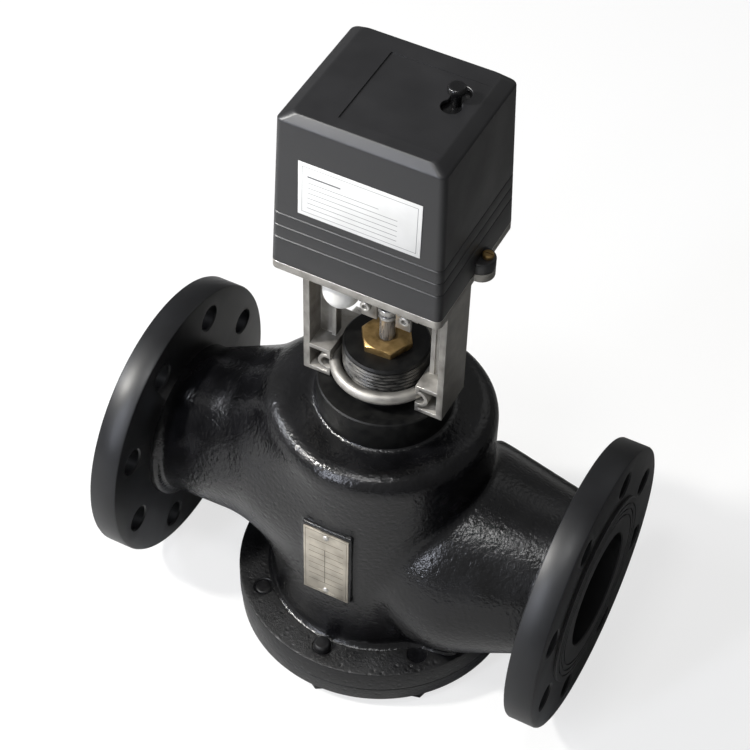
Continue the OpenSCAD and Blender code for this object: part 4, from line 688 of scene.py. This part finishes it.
neck = dict(r=28.0, low=235.5, top=267.0, root=8.0, rootR=25.0, collarR=29.4, collarH=2.2, chamfer=1.2,
            threadLow=246.0, threadTop=264.6, core=26.1, pitch=2.9, ridge=1.05)  # pitch coarse enough to show
n = neck
collarTop = n["low"] + n["collarH"]
bonnet = lathe("neckTurned", [
    (0, n["low"] - n["root"]), (n["rootR"], n["low"] - n["root"]), (n["rootR"], n["low"]),
    (n["collarR"], n["low"]), (n["collarR"], collarTop - 0.4), (n["collarR"] - 0.4, collarTop),
    (n["r"], collarTop), (n["r"], n["threadLow"]), (n["core"], n["threadLow"] + 0.5),
    (n["core"], n["threadTop"] - 0.2), (n["r"], n["threadTop"] + 0.2), (n["r"], n["top"] - n["chamfer"]),
    (n["r"] - n["chamfer"], n["top"]), (0, n["top"])], "Z", segments=160)
dressed(shade(bonnet, 25), neckBlack, "housing", "black_steel", "bonnet")
neckThread = newObject("neckThread", bpy.data.meshes.new("neckThread"))
threadLength = n["threadTop"] - n["threadLow"] - 1.5
runTree(neckThread, threadTree(), {
    "Turns": threadLength / n["pitch"], "Radius": (n["core"] + n["ridge"] * 0.75) * mm,
    "Lowest": (n["threadLow"] + 0.9) * mm, "Length": threadLength * mm, "Ridge": n["ridge"] * mm,
    "Material": wornThread})
dressed(shade(neckThread, 25), wornThread, "housing", "black_steel", "bonnet")
boss = dict(r=44.4, innerR=35.0, low=200.0, top=235.4, recessR=28.4, recessLow=231.2)
b = boss
bossTop = lathe("bossTop", [
    (b["innerR"], b["low"]), (b["r"], b["low"]), (b["r"], b["top"] - 0.8), (b["r"] - 0.9, b["top"]),
    (b["recessR"], b["top"]), (b["recessR"], b["recessLow"]), (b["innerR"], b["recessLow"])],
    "Z", segments=192, closed=True)
dressed(shade(bossTop, 25), neckBlack, "housing", "body_casting", "valve_body")

# the nut's broken edges take the painted pale gold highlight
refined("packing_nut", brass, 0.35, 25, edgeMaterial=brassEdgeHighlight)
stemEnd = boxMesh("stemEnd", (-8, -8, 297.8), (8, 8, 304))  # comes off, so that the button's flat top shows
# the stem's steel carries painted reflection streaks along its length
stem = cut(copied("valve_stem", brightSteel, 0.25), stemEnd)
seated(shade(stem, 35), ownBody("valve_stem"), ownSlot("valve_stem"), "valve_stem")
stemRings = joined([lathe(name, profile, "Z", segments=72, closed=True) for name, profile in (
    ("stemRing", [(4.6, 287.4), (5.5, 287.6), (5.8, 288.4), (5.8, 290.2), (5.3, 291.0), (4.6, 291.1)]),
    ("stemButton", [(4.6, 293.4), (5.9, 293.4), (6.2, 293.8), (6.2, 297.2), (5.8, 297.7), (4.6, 297.75)]))])
dressed(shade(stemRings, 35), screwSteel, ownBody("valve_stem"), ownSlot("valve_stem"), "valve_stem")
print("neck made:", len(neckThread.data.polygons), "faces in the thread")

# yoke, its U-bolt, the stem coupling and the cable gland

# the broken edges of the yoke and the saddle take the painted edge highlight
refined("yoke", dieCast, 0.45, 40, 40, dieCastEdgeHighlight)
refined("u_bolt", platedWire, 0.4, 50, 50)
refined("u_bolt_washers", screwSteel, 0.2, 50)
refined("u_bolt_nuts", screwSteel, 0.35, 40)
refined("clamp_saddle", dieCast, 0.6, 50, edgeMaterial=dieCastEdgeHighlight)

clamp = dict(half=17.0, back=-0.1, front=-2.6, low=284.0, high=305.0, notchHalf=6.4, notchTop=302.0,
             sleeveHalf=11.0, sleeveFront=-9.0, sleeveLow=308.0, sleeveTop=324.5, edge=0.5)
c = clamp
frontBar = boxMesh("couplingFront", (-c["half"], c["front"], c["low"]), (c["half"], c["back"], c["high"]))
cut(frontBar, boxMesh("notch", (-c["notchHalf"], c["front"] - 1, c["low"] - 1),
                      (c["notchHalf"], c["back"] + 1, c["notchTop"])))  # open below, so the button shows
sleeve = boxMesh("sleeve", (-c["sleeveHalf"], c["sleeveFront"], c["sleeveLow"]),
                 (c["sleeveHalf"], c["back"], c["sleeveTop"]))
couplingFront = breakEdges(joined([frontBar, sleeve]), c["edge"], 3, 40)
dressed(shade(couplingFront, 35), dieCast, ownBody("coupling_front"), ownSlot("coupling_front"),
        "coupling_front")

screws = dict(x=13.6, z=294.4, seat=clamp["front"], headR=3.5, headT=3.0, socketR=1.7, socketFloor=0.8,
              shankR=1.9, end=9.2)
s = screws  # socket heads, seen as bright rings round a dark hole
face = s["seat"] - s["headT"]
screwProfile = [(0, s["seat"] - s["socketFloor"]), (s["socketR"], s["seat"] - s["socketFloor"]),
                (s["socketR"], face + 0.3), (s["socketR"] + 0.25, face), (s["headR"] - 0.4, face),
                (s["headR"], face + 0.4), (s["headR"], s["seat"]), (s["shankR"], s["seat"]),
                (s["shankR"], s["end"]), (0, s["end"])]
couplingScrews = joined([lathe(name, screwProfile, "Y", (x, 0, s["z"]), 48)
                         for name, x in (("couplingScrews", -s["x"]), ("secondScrew", s["x"]))])
dressed(shade(couplingScrews, 35), screwSteel, ownBody("coupling_screws"), ownSlot("coupling_screws"),
        "coupling_screws")
# its broken edges take the painted edge highlight too
refined("coupling_rear", dieCast, 0.4, 50, edgeMaterial=dieCastEdgeHighlight)
refined("drive_spindle", groundSteel)
refined("gland_body", nylonWhite, 0.5, 45)

dome = dict(r=11.8, x=-17.0, y=-29.0, top=340.0, centre=330.2, edge=0.6, steps=24)
d = dome
quarter = [math.radians(90 * i / d["steps"]) for i in range(d["steps"] + 1)]
domeProfile = [(0, d["top"]), (d["r"] - d["edge"], d["top"]), (d["r"], d["top"] - d["edge"])]
domeProfile += [(d["r"] * math.cos(a), d["centre"] - d["r"] * math.sin(a)) for a in quarter]
plugDome = lathe("plugDome", domeProfile, "Z", (d["x"], d["y"], 0), 72)
dressed(shade(plugDome, 50), nylonWhite, ownBody("gland_plug"), ownSlot("gland_plug"), "gland_plug")
print("yoke made")

# actuator cover

hood = dict(low=352.7, width=112.0, depth=100.4, centreY=3.5, wallH=107.9, bevelH=5.3, bevelSide=8.5,
            bevelFront=4.5, draft=0.03, cornerR=4.5, wall=2.5, grooves=(19.8, 29.4, 39.0), grooveW=0.9,
            grooveT=0.65, slot=(31.0, 13.8), slotR=6.2, slotHalf=6.5, neckShare=0.7,
            panel=(-19.5, -31.0, 33.0), panelSink=0.8)
lugs = dict(x=56.5, y=8.0, r=8.5, root=50.0, h=8.0, edge=1.2, steps=24)


def planRing(h, inset, share, perCorner=9):  # the cover's outline at a height, share of the bevel taken off
    p = hood
    run = p["draft"] * h + inset
    r = max(p["cornerR"] - inset / 2, 1.2)
    x = p["width"] / 2 - run - share * p["bevelSide"] - r
    y = p["depth"] / 2 - run - share * p["bevelFront"] - r
    points = []
    for k, (sx, sy) in enumerate(((1, 1), (-1, 1), (-1, -1), (1, -1))):
        for i in range(perCorner):
            a = math.radians(90 * k + 90 * i / (perCorner - 1))
            points.append((sx * x + r * math.cos(a), p["centreY"] + sy * y + r * math.sin(a), p["low"] + h))
    return points


def loft(name, rings):
    count = len(rings[0])
    points = [p for ring in rings for p in ring]
    faces = [tuple(reversed(range(count)))]
    for k in range(len(rings) - 1):
        for i in range(count):
            j = (i + 1) % count
            faces.append((k * count + i, k * count + j, (k + 1) * count + j, (k + 1) * count + i))
    faces.append(tuple(range((len(rings) - 1) * count, len(rings) * count)))
    return newObject(name, cleanUp(meshFrom(name, points, faces)))


def hoodShape():  # rings from the inside of the roof, down the inner wall and up the outer one
    p = hood
    h, rise, wall = p["wallH"], p["bevelH"], p["wall"]
    rings = [(h + rise - wall, wall, 0.9), (h - wall, wall, 0.0), (0.5, wall, 0.0), (0.0, wall - 0.4, 0.0),
             (0.0, 0.5, 0.0), (0.15, 0.15, 0.0), (0.5, 0.0, 0.0)]
    for g in p["grooves"]:
        w, t = p["grooveW"], p["grooveT"]
        rings += [(g - 0.35, 0.0, 0.0), (g - 0.15, 0.05, 0.0), (g + 0.4, t, 0.0), (g + w, t, 0.0),
                  (g + w, 0.2, 0.0), (g + w + 0.06, 0.05, 0.0), (g + w + 0.25, 0.0, 0.0)]
    rings += [(h - 1.3, 0.0, 0.0), (h - 0.5, 0.05, 0.0), (h + 0.15, 0.0, 0.055), (h + 0.75, 0.0, 0.15),
              (h + rise * 0.86, 0.0, 0.85), (h + rise * 0.95, 0.0, 0.945), (h + rise * 0.99, 0.0, 1.03),
              (h + rise, 0.0, 1.14)]
    return loft("actuatorHood", [planRing(*r) for r in rings])


def slotTools(top):  # dumbbell slot of the declutch knob, its rim broken by a small chamfer
    p = hood
    slotX, slotY = p["slot"]
    half = p["slotR"] * p["neckShare"]
    end = [(0, top - 6), (p["slotR"], top - 6), (p["slotR"], top - 0.5), (p["slotR"] + 1.0, top + 0.5),
           (0, top + 0.5)]
    tools = [lathe("slotEnd", end, "Z", (slotX, slotY + s * p["slotHalf"], 0), 64) for s in (-1, 1)]
    return tools + [boxMesh("slotNeck", (slotX - half, slotY - p["slotHalf"], top - 6.2),
                            (slotX + half, slotY + p["slotHalf"], top + 0.6))]


def panelTool(top):  # deepest along its left edge, level with the roof at the right
    p = hood
    x0, y0, y1 = p["panel"]
    reach = p["width"] / 2 - p["bevelSide"] + 4
    low = [(x0, y0, top - p["panelSink"]), (x0, y1, top - p["panelSink"]), (reach, y1, top + 0.02),
           (reach, y0, top + 0.02)]
    high = [(x, y, top + 2) for x, y, z in low]
    faces = [(0, 1, 2, 3), (7, 6, 5, 4), (0, 4, 5, 1), (2, 6, 7, 3), (0, 3, 7, 4), (1, 5, 6, 2)]
    return newObject("panel", cleanUp(meshFrom("panel", low + high, faces)))


def makeLug(name, side):
    g = lugs
    turns = [math.radians(-90 + 180 * i / g["steps"]) for i in range(g["steps"] + 1)]
    plan = [(side * (g["x"] + g["r"] * math.cos(a)), g["y"] + g["r"] * math.sin(a)) for a in turns]
    plan = [(side * g["root"], g["y"] - g["r"])] + plan + [(side * g["root"], g["y"] + g["r"])]
    count = len(plan)
    points = [(x, y, z) for z in (hood["low"], hood["low"] + g["h"]) for x, y in plan]
    faces = [tuple(range(count)), tuple(reversed(range(count, 2 * count)))]
    faces += [(i, (i + 1) % count, count + (i + 1) % count, count + i) for i in range(count)]
    lug = newObject(name, cleanUp(meshFrom(name, points, faces)))
    return shade(breakEdges(lug, g["edge"], 3, 40), 35)


hoodTop = hood["low"] + hood["wallH"] + hood["bevelH"]
hoodShell = hoodShape()
for tool in slotTools(hoodTop) + [panelTool(hoodTop)]:
    cut(hoodShell, tool)
dressed(shade(hoodShell, 28), mouldedBlack, "housing", "cover_plastic", "actuator_cover")
for name, side in (("lugRight", 1), ("lugLeft", -1)):
    dressed(makeLug(name, side), mouldedBlack, "housing", "cover_plastic", "actuator_cover")
refined("declutch_knob", mouldedGloss, 0.3, 40, 50)
refined("declutch_slider", mouldedGloss, 0.4, 40)
# the screws' broken edges take the same painted highlight
refined("cover_screws", brass, 0.15, 40, edgeMaterial=brassEdgeHighlight)
print("cover made")


# plates: their lines are drawn in the material, in millimetres from the plate's centre

def lineMask(tree, x, z, x0, x1, z0, z1, soft=0.06):  # 1 inside the rectangle
    result = None
    for value, low, high in ((x, x0, x1), (z, z0, z1)):
        for edge, inside, beyond in ((low, 0.0, 1.0), (high, 1.0, 0.0)):
            part = addNode(tree, "ShaderNodeMapRange", {"From Min": edge - soft, "From Max": edge + soft,
                                                        "To Min": inside, "To Max": beyond}, {"Value": value})
            if result:
                part = addNode(tree, "ShaderNodeMath", links={0: result.outputs[0], 1: part.outputs[0]},
                               operation="MULTIPLY")
            result = part
    return result.outputs[0]


def ruledSheet(name, look, lines):
    mat, tree, shader, where = startMaterial(name, look.get("metallic", 0.0))
    tone = setTones(tree, shader, where, look)
    split = addNode(tree, "ShaderNodeSeparateXYZ", links={0: where})
    x, z = (addNode(tree, "ShaderNodeMath", {1: 1000.0, 2: -middle}, {0: split.outputs[axis]},
                    operation="MULTIPLY_ADD").outputs[0] for axis, middle in zip((0, 2), look["centre"]))
    drawn = None
    for line in lines:
        mask = lineMask(tree, x, z, *line)
        drawn = mask if drawn is None else addNode(tree, "ShaderNodeMath", links={0: drawn, 1: mask},
                                                   operation="MAXIMUM").outputs[0]
    shown = addNode(tree, "ShaderNodeMix", {7: toLinear(look["line"])}, {0: drawn, 6: tone}, data_type="RGBA")
    tree.links.new(shown.outputs[2], shader.inputs["Base Color"])
    grain = addNode(tree, "ShaderNodeTexNoise", {"Scale": 1000.0 / look["grainMm"]}, {"Vector": where})
    layers = [(grain.outputs["Fac"], look["depthMm"])]
    if "lineDepthMm" in look:
        layers.append((drawn, -look["lineDepthMm"]))
    setRelief(tree, shader, *layers)
    return mat


def outline(half, high, width):  # four lines round a plate, x and z from the centre
    return [(-half, half, high - width, high), (-half, half, -high, -high + width),
            (-half, -half + width, -high, high), (half - width, half, -high, high)]


# a blank form: a frame, one heavy rule and thin rules of several lengths
labelLines = outline(36.5, 16.9, 0.3) + [(-33, -12, 9.6, 10.7)]
labelLines += [(-33, end, z, z + 0.35)
               for end, z in ((12, 5.6), (24, 1.8), (24, -2.0), (24, -5.8), (24, -9.6), (24, -13.2))]
labelFilm = ruledSheet("whitePolyesterFilm", dict(  # smooth film: clean white with an even sheen
    centre=(1.7, 417.5), dark="#d2d2d0", light="#dcdcda", smooth=0.36, rough=0.46, patchMm=20.0, grainMm=0.8,
    depthMm=0.006, line="#5c5c5e"), labelLines)
refined("label_plate", labelFilm, 0.1)

plateLines = outline(15.2, 31.2, 0.3) + [(-1.0, -0.6, -20.9, 14.9)]
plateLines += [(-12.6, 12.6, z, z + 0.4) for z in (22.5, 14.5, 8.6, 2.7, -3.2, -9.1, -15.0, -20.9)]
etchedPlate = ruledSheet("etchedNickelSilverPlate", dict(  # rolled sheet: warm grey, its etched lines dark
    centre=(-1.2, 123.0), metallic=0.75, dark="#a39c90", light="#c2bbad", smooth=0.34, rough=0.5, patchMm=9.0,
    grainMm=0.9, depthMm=0.02, line="#5b554c", lineDepthMm=0.05), plateLines)
refined("nameplate", etchedPlate, 0.25)

rivet = dict(x=-1.2, y=-77.9, z=(94.9, 151.2), r=2.25, riseShare=0.5)
rivetPoints = meshFrom("nameplateRivets", [(rivet["x"], rivet["y"], z) for z in rivet["z"]], [])
rivets = newObject("nameplateRivets", rivetPoints)
runTree(rivets, rivetTree(), {"Radius": rivet["r"] * mm, "Rise share": rivet["riseShare"],
                              "Material": screwSteel})
rivets.data.shade_smooth()
dressed(rivets, screwSteel, "housing", "plated_steel", "nameplate_rivets")
print("plates made")

# pieces inside, carried over from the frame

inside = dict(seat_ring=stainless, regulator_cage=stainless, rod_bush=bronze, diaphragm=rubber,
              diaphragm_plates=stainless, regulator_rod=groundSteel, regulator_piston=stainless,
              rod_nuts=screwSteel, regulator_spring=springSteel, bonnet_seal=rubber, stem_bush=bronze,
              packing_washer=stainless, packing_rings=nylonWhite, control_plug=stainless, plug_nut=screwSteel,
              gland_locknut=nylonWhite, spindle_bush=bronze, travel_cam=camOrange, gear_plate_lower=stainless,
              gear_plate_upper=stainless, gear_pillars=screwSteel, pillar_nuts=screwSteel,
              gear_shafts=groundSteel, thrust_washers=bronze, drive_gear=brass, second_gear=nylonWhite,
              first_gear=nylonWhite, motor_pinion=brass, drive_motor=platedWire, limit_switches=mouldedBlack,
              circuit_board=boardGreen, terminal_block=terminalGreen, terminal_screws=screwSteel)
for name, finish in inside.items():
    obj = frame["nodes"][name]
    if not obj.material_slots:
        obj.data.materials.append(finish)
    for slot in obj.material_slots:
        slot.material = finish
print("pieces inside dressed")

# floor: pale paper, which is white to the camera; for all other rays its colour carries a painted shade, darker
# behind and to the right

paper = dict(z=-0.3, half=6000, colour="#fcfcfb", glow="#fdfdfd", glowShare=0.72, shade=(0.2, 0.6),
             shadeFrom=(-0.3, 0.12))
floorMat, tree, shader, where = startMaterial("paleMattePaperSweep", specular=0.2)  # even and without gloss
shader.inputs["Roughness"].default_value = 0.9
# painted shade: the colour falls from the front left to the back right, for every ray but the camera's
split = addNode(tree, "ShaderNodeSeparateXYZ", links={0: where})
away = addNode(tree, "ShaderNodeMath", {1: -0.75, 2: 0.0}, {0: split.outputs[0]}, operation="MULTIPLY_ADD")
lit = addNode(tree, "ShaderNodeMath", {1: -0.66}, {0: split.outputs[1], 2: away.outputs[0]},
              operation="MULTIPLY_ADD")
paintedShade = addNode(tree, "ShaderNodeMapRange",
                {"From Min": paper["shadeFrom"][0], "From Max": paper["shadeFrom"][1],
                 "To Min": paper["shade"][0], "To Max": paper["shade"][1]}, {"Value": lit.outputs[0]})
path = addNode(tree, "ShaderNodeLightPath")
whole = addNode(tree, "ShaderNodeMath", links={0: paintedShade.outputs[0], 1: path.outputs["Is Camera Ray"]},
                operation="MAXIMUM")
tone = addNode(tree, "ShaderNodeMix", {6: toLinear("#000000"), 7: toLinear(paper["colour"])},
               {0: whole.outputs[0]}, data_type="RGBA")
tree.links.new(tone.outputs[2], shader.inputs["Base Color"])
glow = addNode(tree, "ShaderNodeEmission", {"Color": toLinear(paper["glow"]), "Strength": 1.0})
share = addNode(tree, "ShaderNodeMath", {1: paper["glowShare"]}, {0: path.outputs["Is Camera Ray"]},
                operation="MULTIPLY")
seen = addNode(tree, "ShaderNodeMixShader",
               links={0: share.outputs[0], 1: shader.outputs[0], 2: glow.outputs[0]})
ending = next(node for node in tree.nodes if node.type == "OUTPUT_MATERIAL")
tree.links.new(seen.outputs[0], ending.inputs[0])
corners = [(x * paper["half"], y * paper["half"], paper["z"]) for x, y in ((-1, -1), (1, -1), (1, 1), (-1, 1))]
floor = newObject("floor", meshFrom("floor", corners, [(0, 1, 2, 3)]))
floor.data.materials.append(floorMat)

# lamps, in metres and watts

lamps = [  # name, place, aim, size, power, colour
    ("keyLamp", (-1.22, -0.86, 1.72), (0.0, 0.0, 0.2), (0.16, 0.16), 44.0, "#fffdf8"),
    ("topLamp", (-0.06, -0.72, 2.15), (0.0, 0.0, 0.2), (0.3, 0.3), 10.0, "#ffffff"),
    ("sideLamp", (-1.75, -0.5, 1.25), (0.0, 0.0, 0.2), (0.3, 0.3), 13.0, "#f4f7ff"),
    ("windowLamp", (-0.62, -1.65, 1.15), (0.0, 0.0, 0.2), (0.16, 1.2), 17.0, "#ecf1ff"),
    ("backLamp", (0.4, 1.7, 1.6), (0.0, 0.0, 0.3), (1.0, 1.0), 1.5, "#ffffff")]
for name, place, aim, size, power, tint in lamps:
    data = bpy.data.lights.new(name, "AREA")
    data.shape = "RECTANGLE"
    data.size, data.size_y = size
    data.energy = power
    data.color = toLinear(tint)[:3]
    lamp = newObject(name, data)
    facing = (Vector(aim) - Vector(place)).to_track_quat("-Z", "Y").to_matrix().to_4x4()
    lamp.matrix_world = Matrix.Translation(place) @ facing

# world: white to the camera, a dim room that is bright towards the window for the rays that light the object

room = dict(window=(-0.66, -0.56, 0.5), reach=(-0.2, 0.9), level=(0.05, 0.35), glossy=0.1)
world = bpy.data.worlds.new("studio")
bpy.context.scene.world = world
world.use_nodes = True
tree = world.node_tree
tree.nodes.clear()
path = addNode(tree, "ShaderNodeLightPath")
seen = addNode(tree, "ShaderNodeMath", operation="MAXIMUM",
               links={0: path.outputs["Is Camera Ray"], 1: path.outputs["Is Transmission Ray"]})
sky = addNode(tree, "ShaderNodeTexCoord")
side = addNode(tree, "ShaderNodeVectorMath", {1: room["window"]}, {0: sky.outputs["Generated"]},
               operation="DOT_PRODUCT")
wall = addNode(tree, "ShaderNodeMapRange", {"From Min": room["reach"][0], "From Max": room["reach"][1],
                                            "To Min": room["level"][0], "To Max": room["level"][1]},
               {"Value": side.outputs["Value"]})
level = addNode(tree, "ShaderNodeMapRange", {"To Max": 1.0},
                {"Value": seen.outputs[0], "To Min": wall.outputs[0]})
strength = addNode(tree, "ShaderNodeMath", {1: room["glossy"]},  # metal shows the pale room too
                   {0: path.outputs["Is Glossy Ray"], 2: level.outputs[0]}, operation="MULTIPLY_ADD")
background = addNode(tree, "ShaderNodeBackground", {"Color": (1, 1, 1, 1)}, {"Strength": strength.outputs[0]})
addNode(tree, "ShaderNodeOutputWorld", links={0: background.outputs[0]})
print("floor, lamps and world made")

# camera, fitted to the photograph

camera = dict(azimuth=26.2836, elevation=48.1967, roll=1.6382, distance=1.328935,
              target=(-0.007312, -0.000772, 0.230432), lens=99.654)
azimuth, elevation, roll = (math.radians(camera[k]) for k in ("azimuth", "elevation", "roll"))
flat = math.cos(elevation)
back = Vector((math.sin(azimuth) * flat, -math.cos(azimuth) * flat, math.sin(elevation)))
across = Vector((math.cos(azimuth), math.sin(azimuth), 0))
upward = back.cross(across)
right = math.cos(roll) * across + math.sin(roll) * upward
top = -math.sin(roll) * across + math.cos(roll) * upward
lens = bpy.data.cameras.new("photoCamera")
lens.sensor_width = 36.0
lens.lens = camera["lens"]
lens.clip_end = 20.0
cameraObj = newObject("photoCamera", lens)
turned = Matrix((right, top, back)).transposed().to_4x4()
cameraObj.matrix_world = Matrix.Translation(Vector(camera["target"]) + back * camera["distance"]) @ turned
bpy.context.scene.camera = cameraObj
bpy.context.scene.view_settings.view_transform = "Standard"
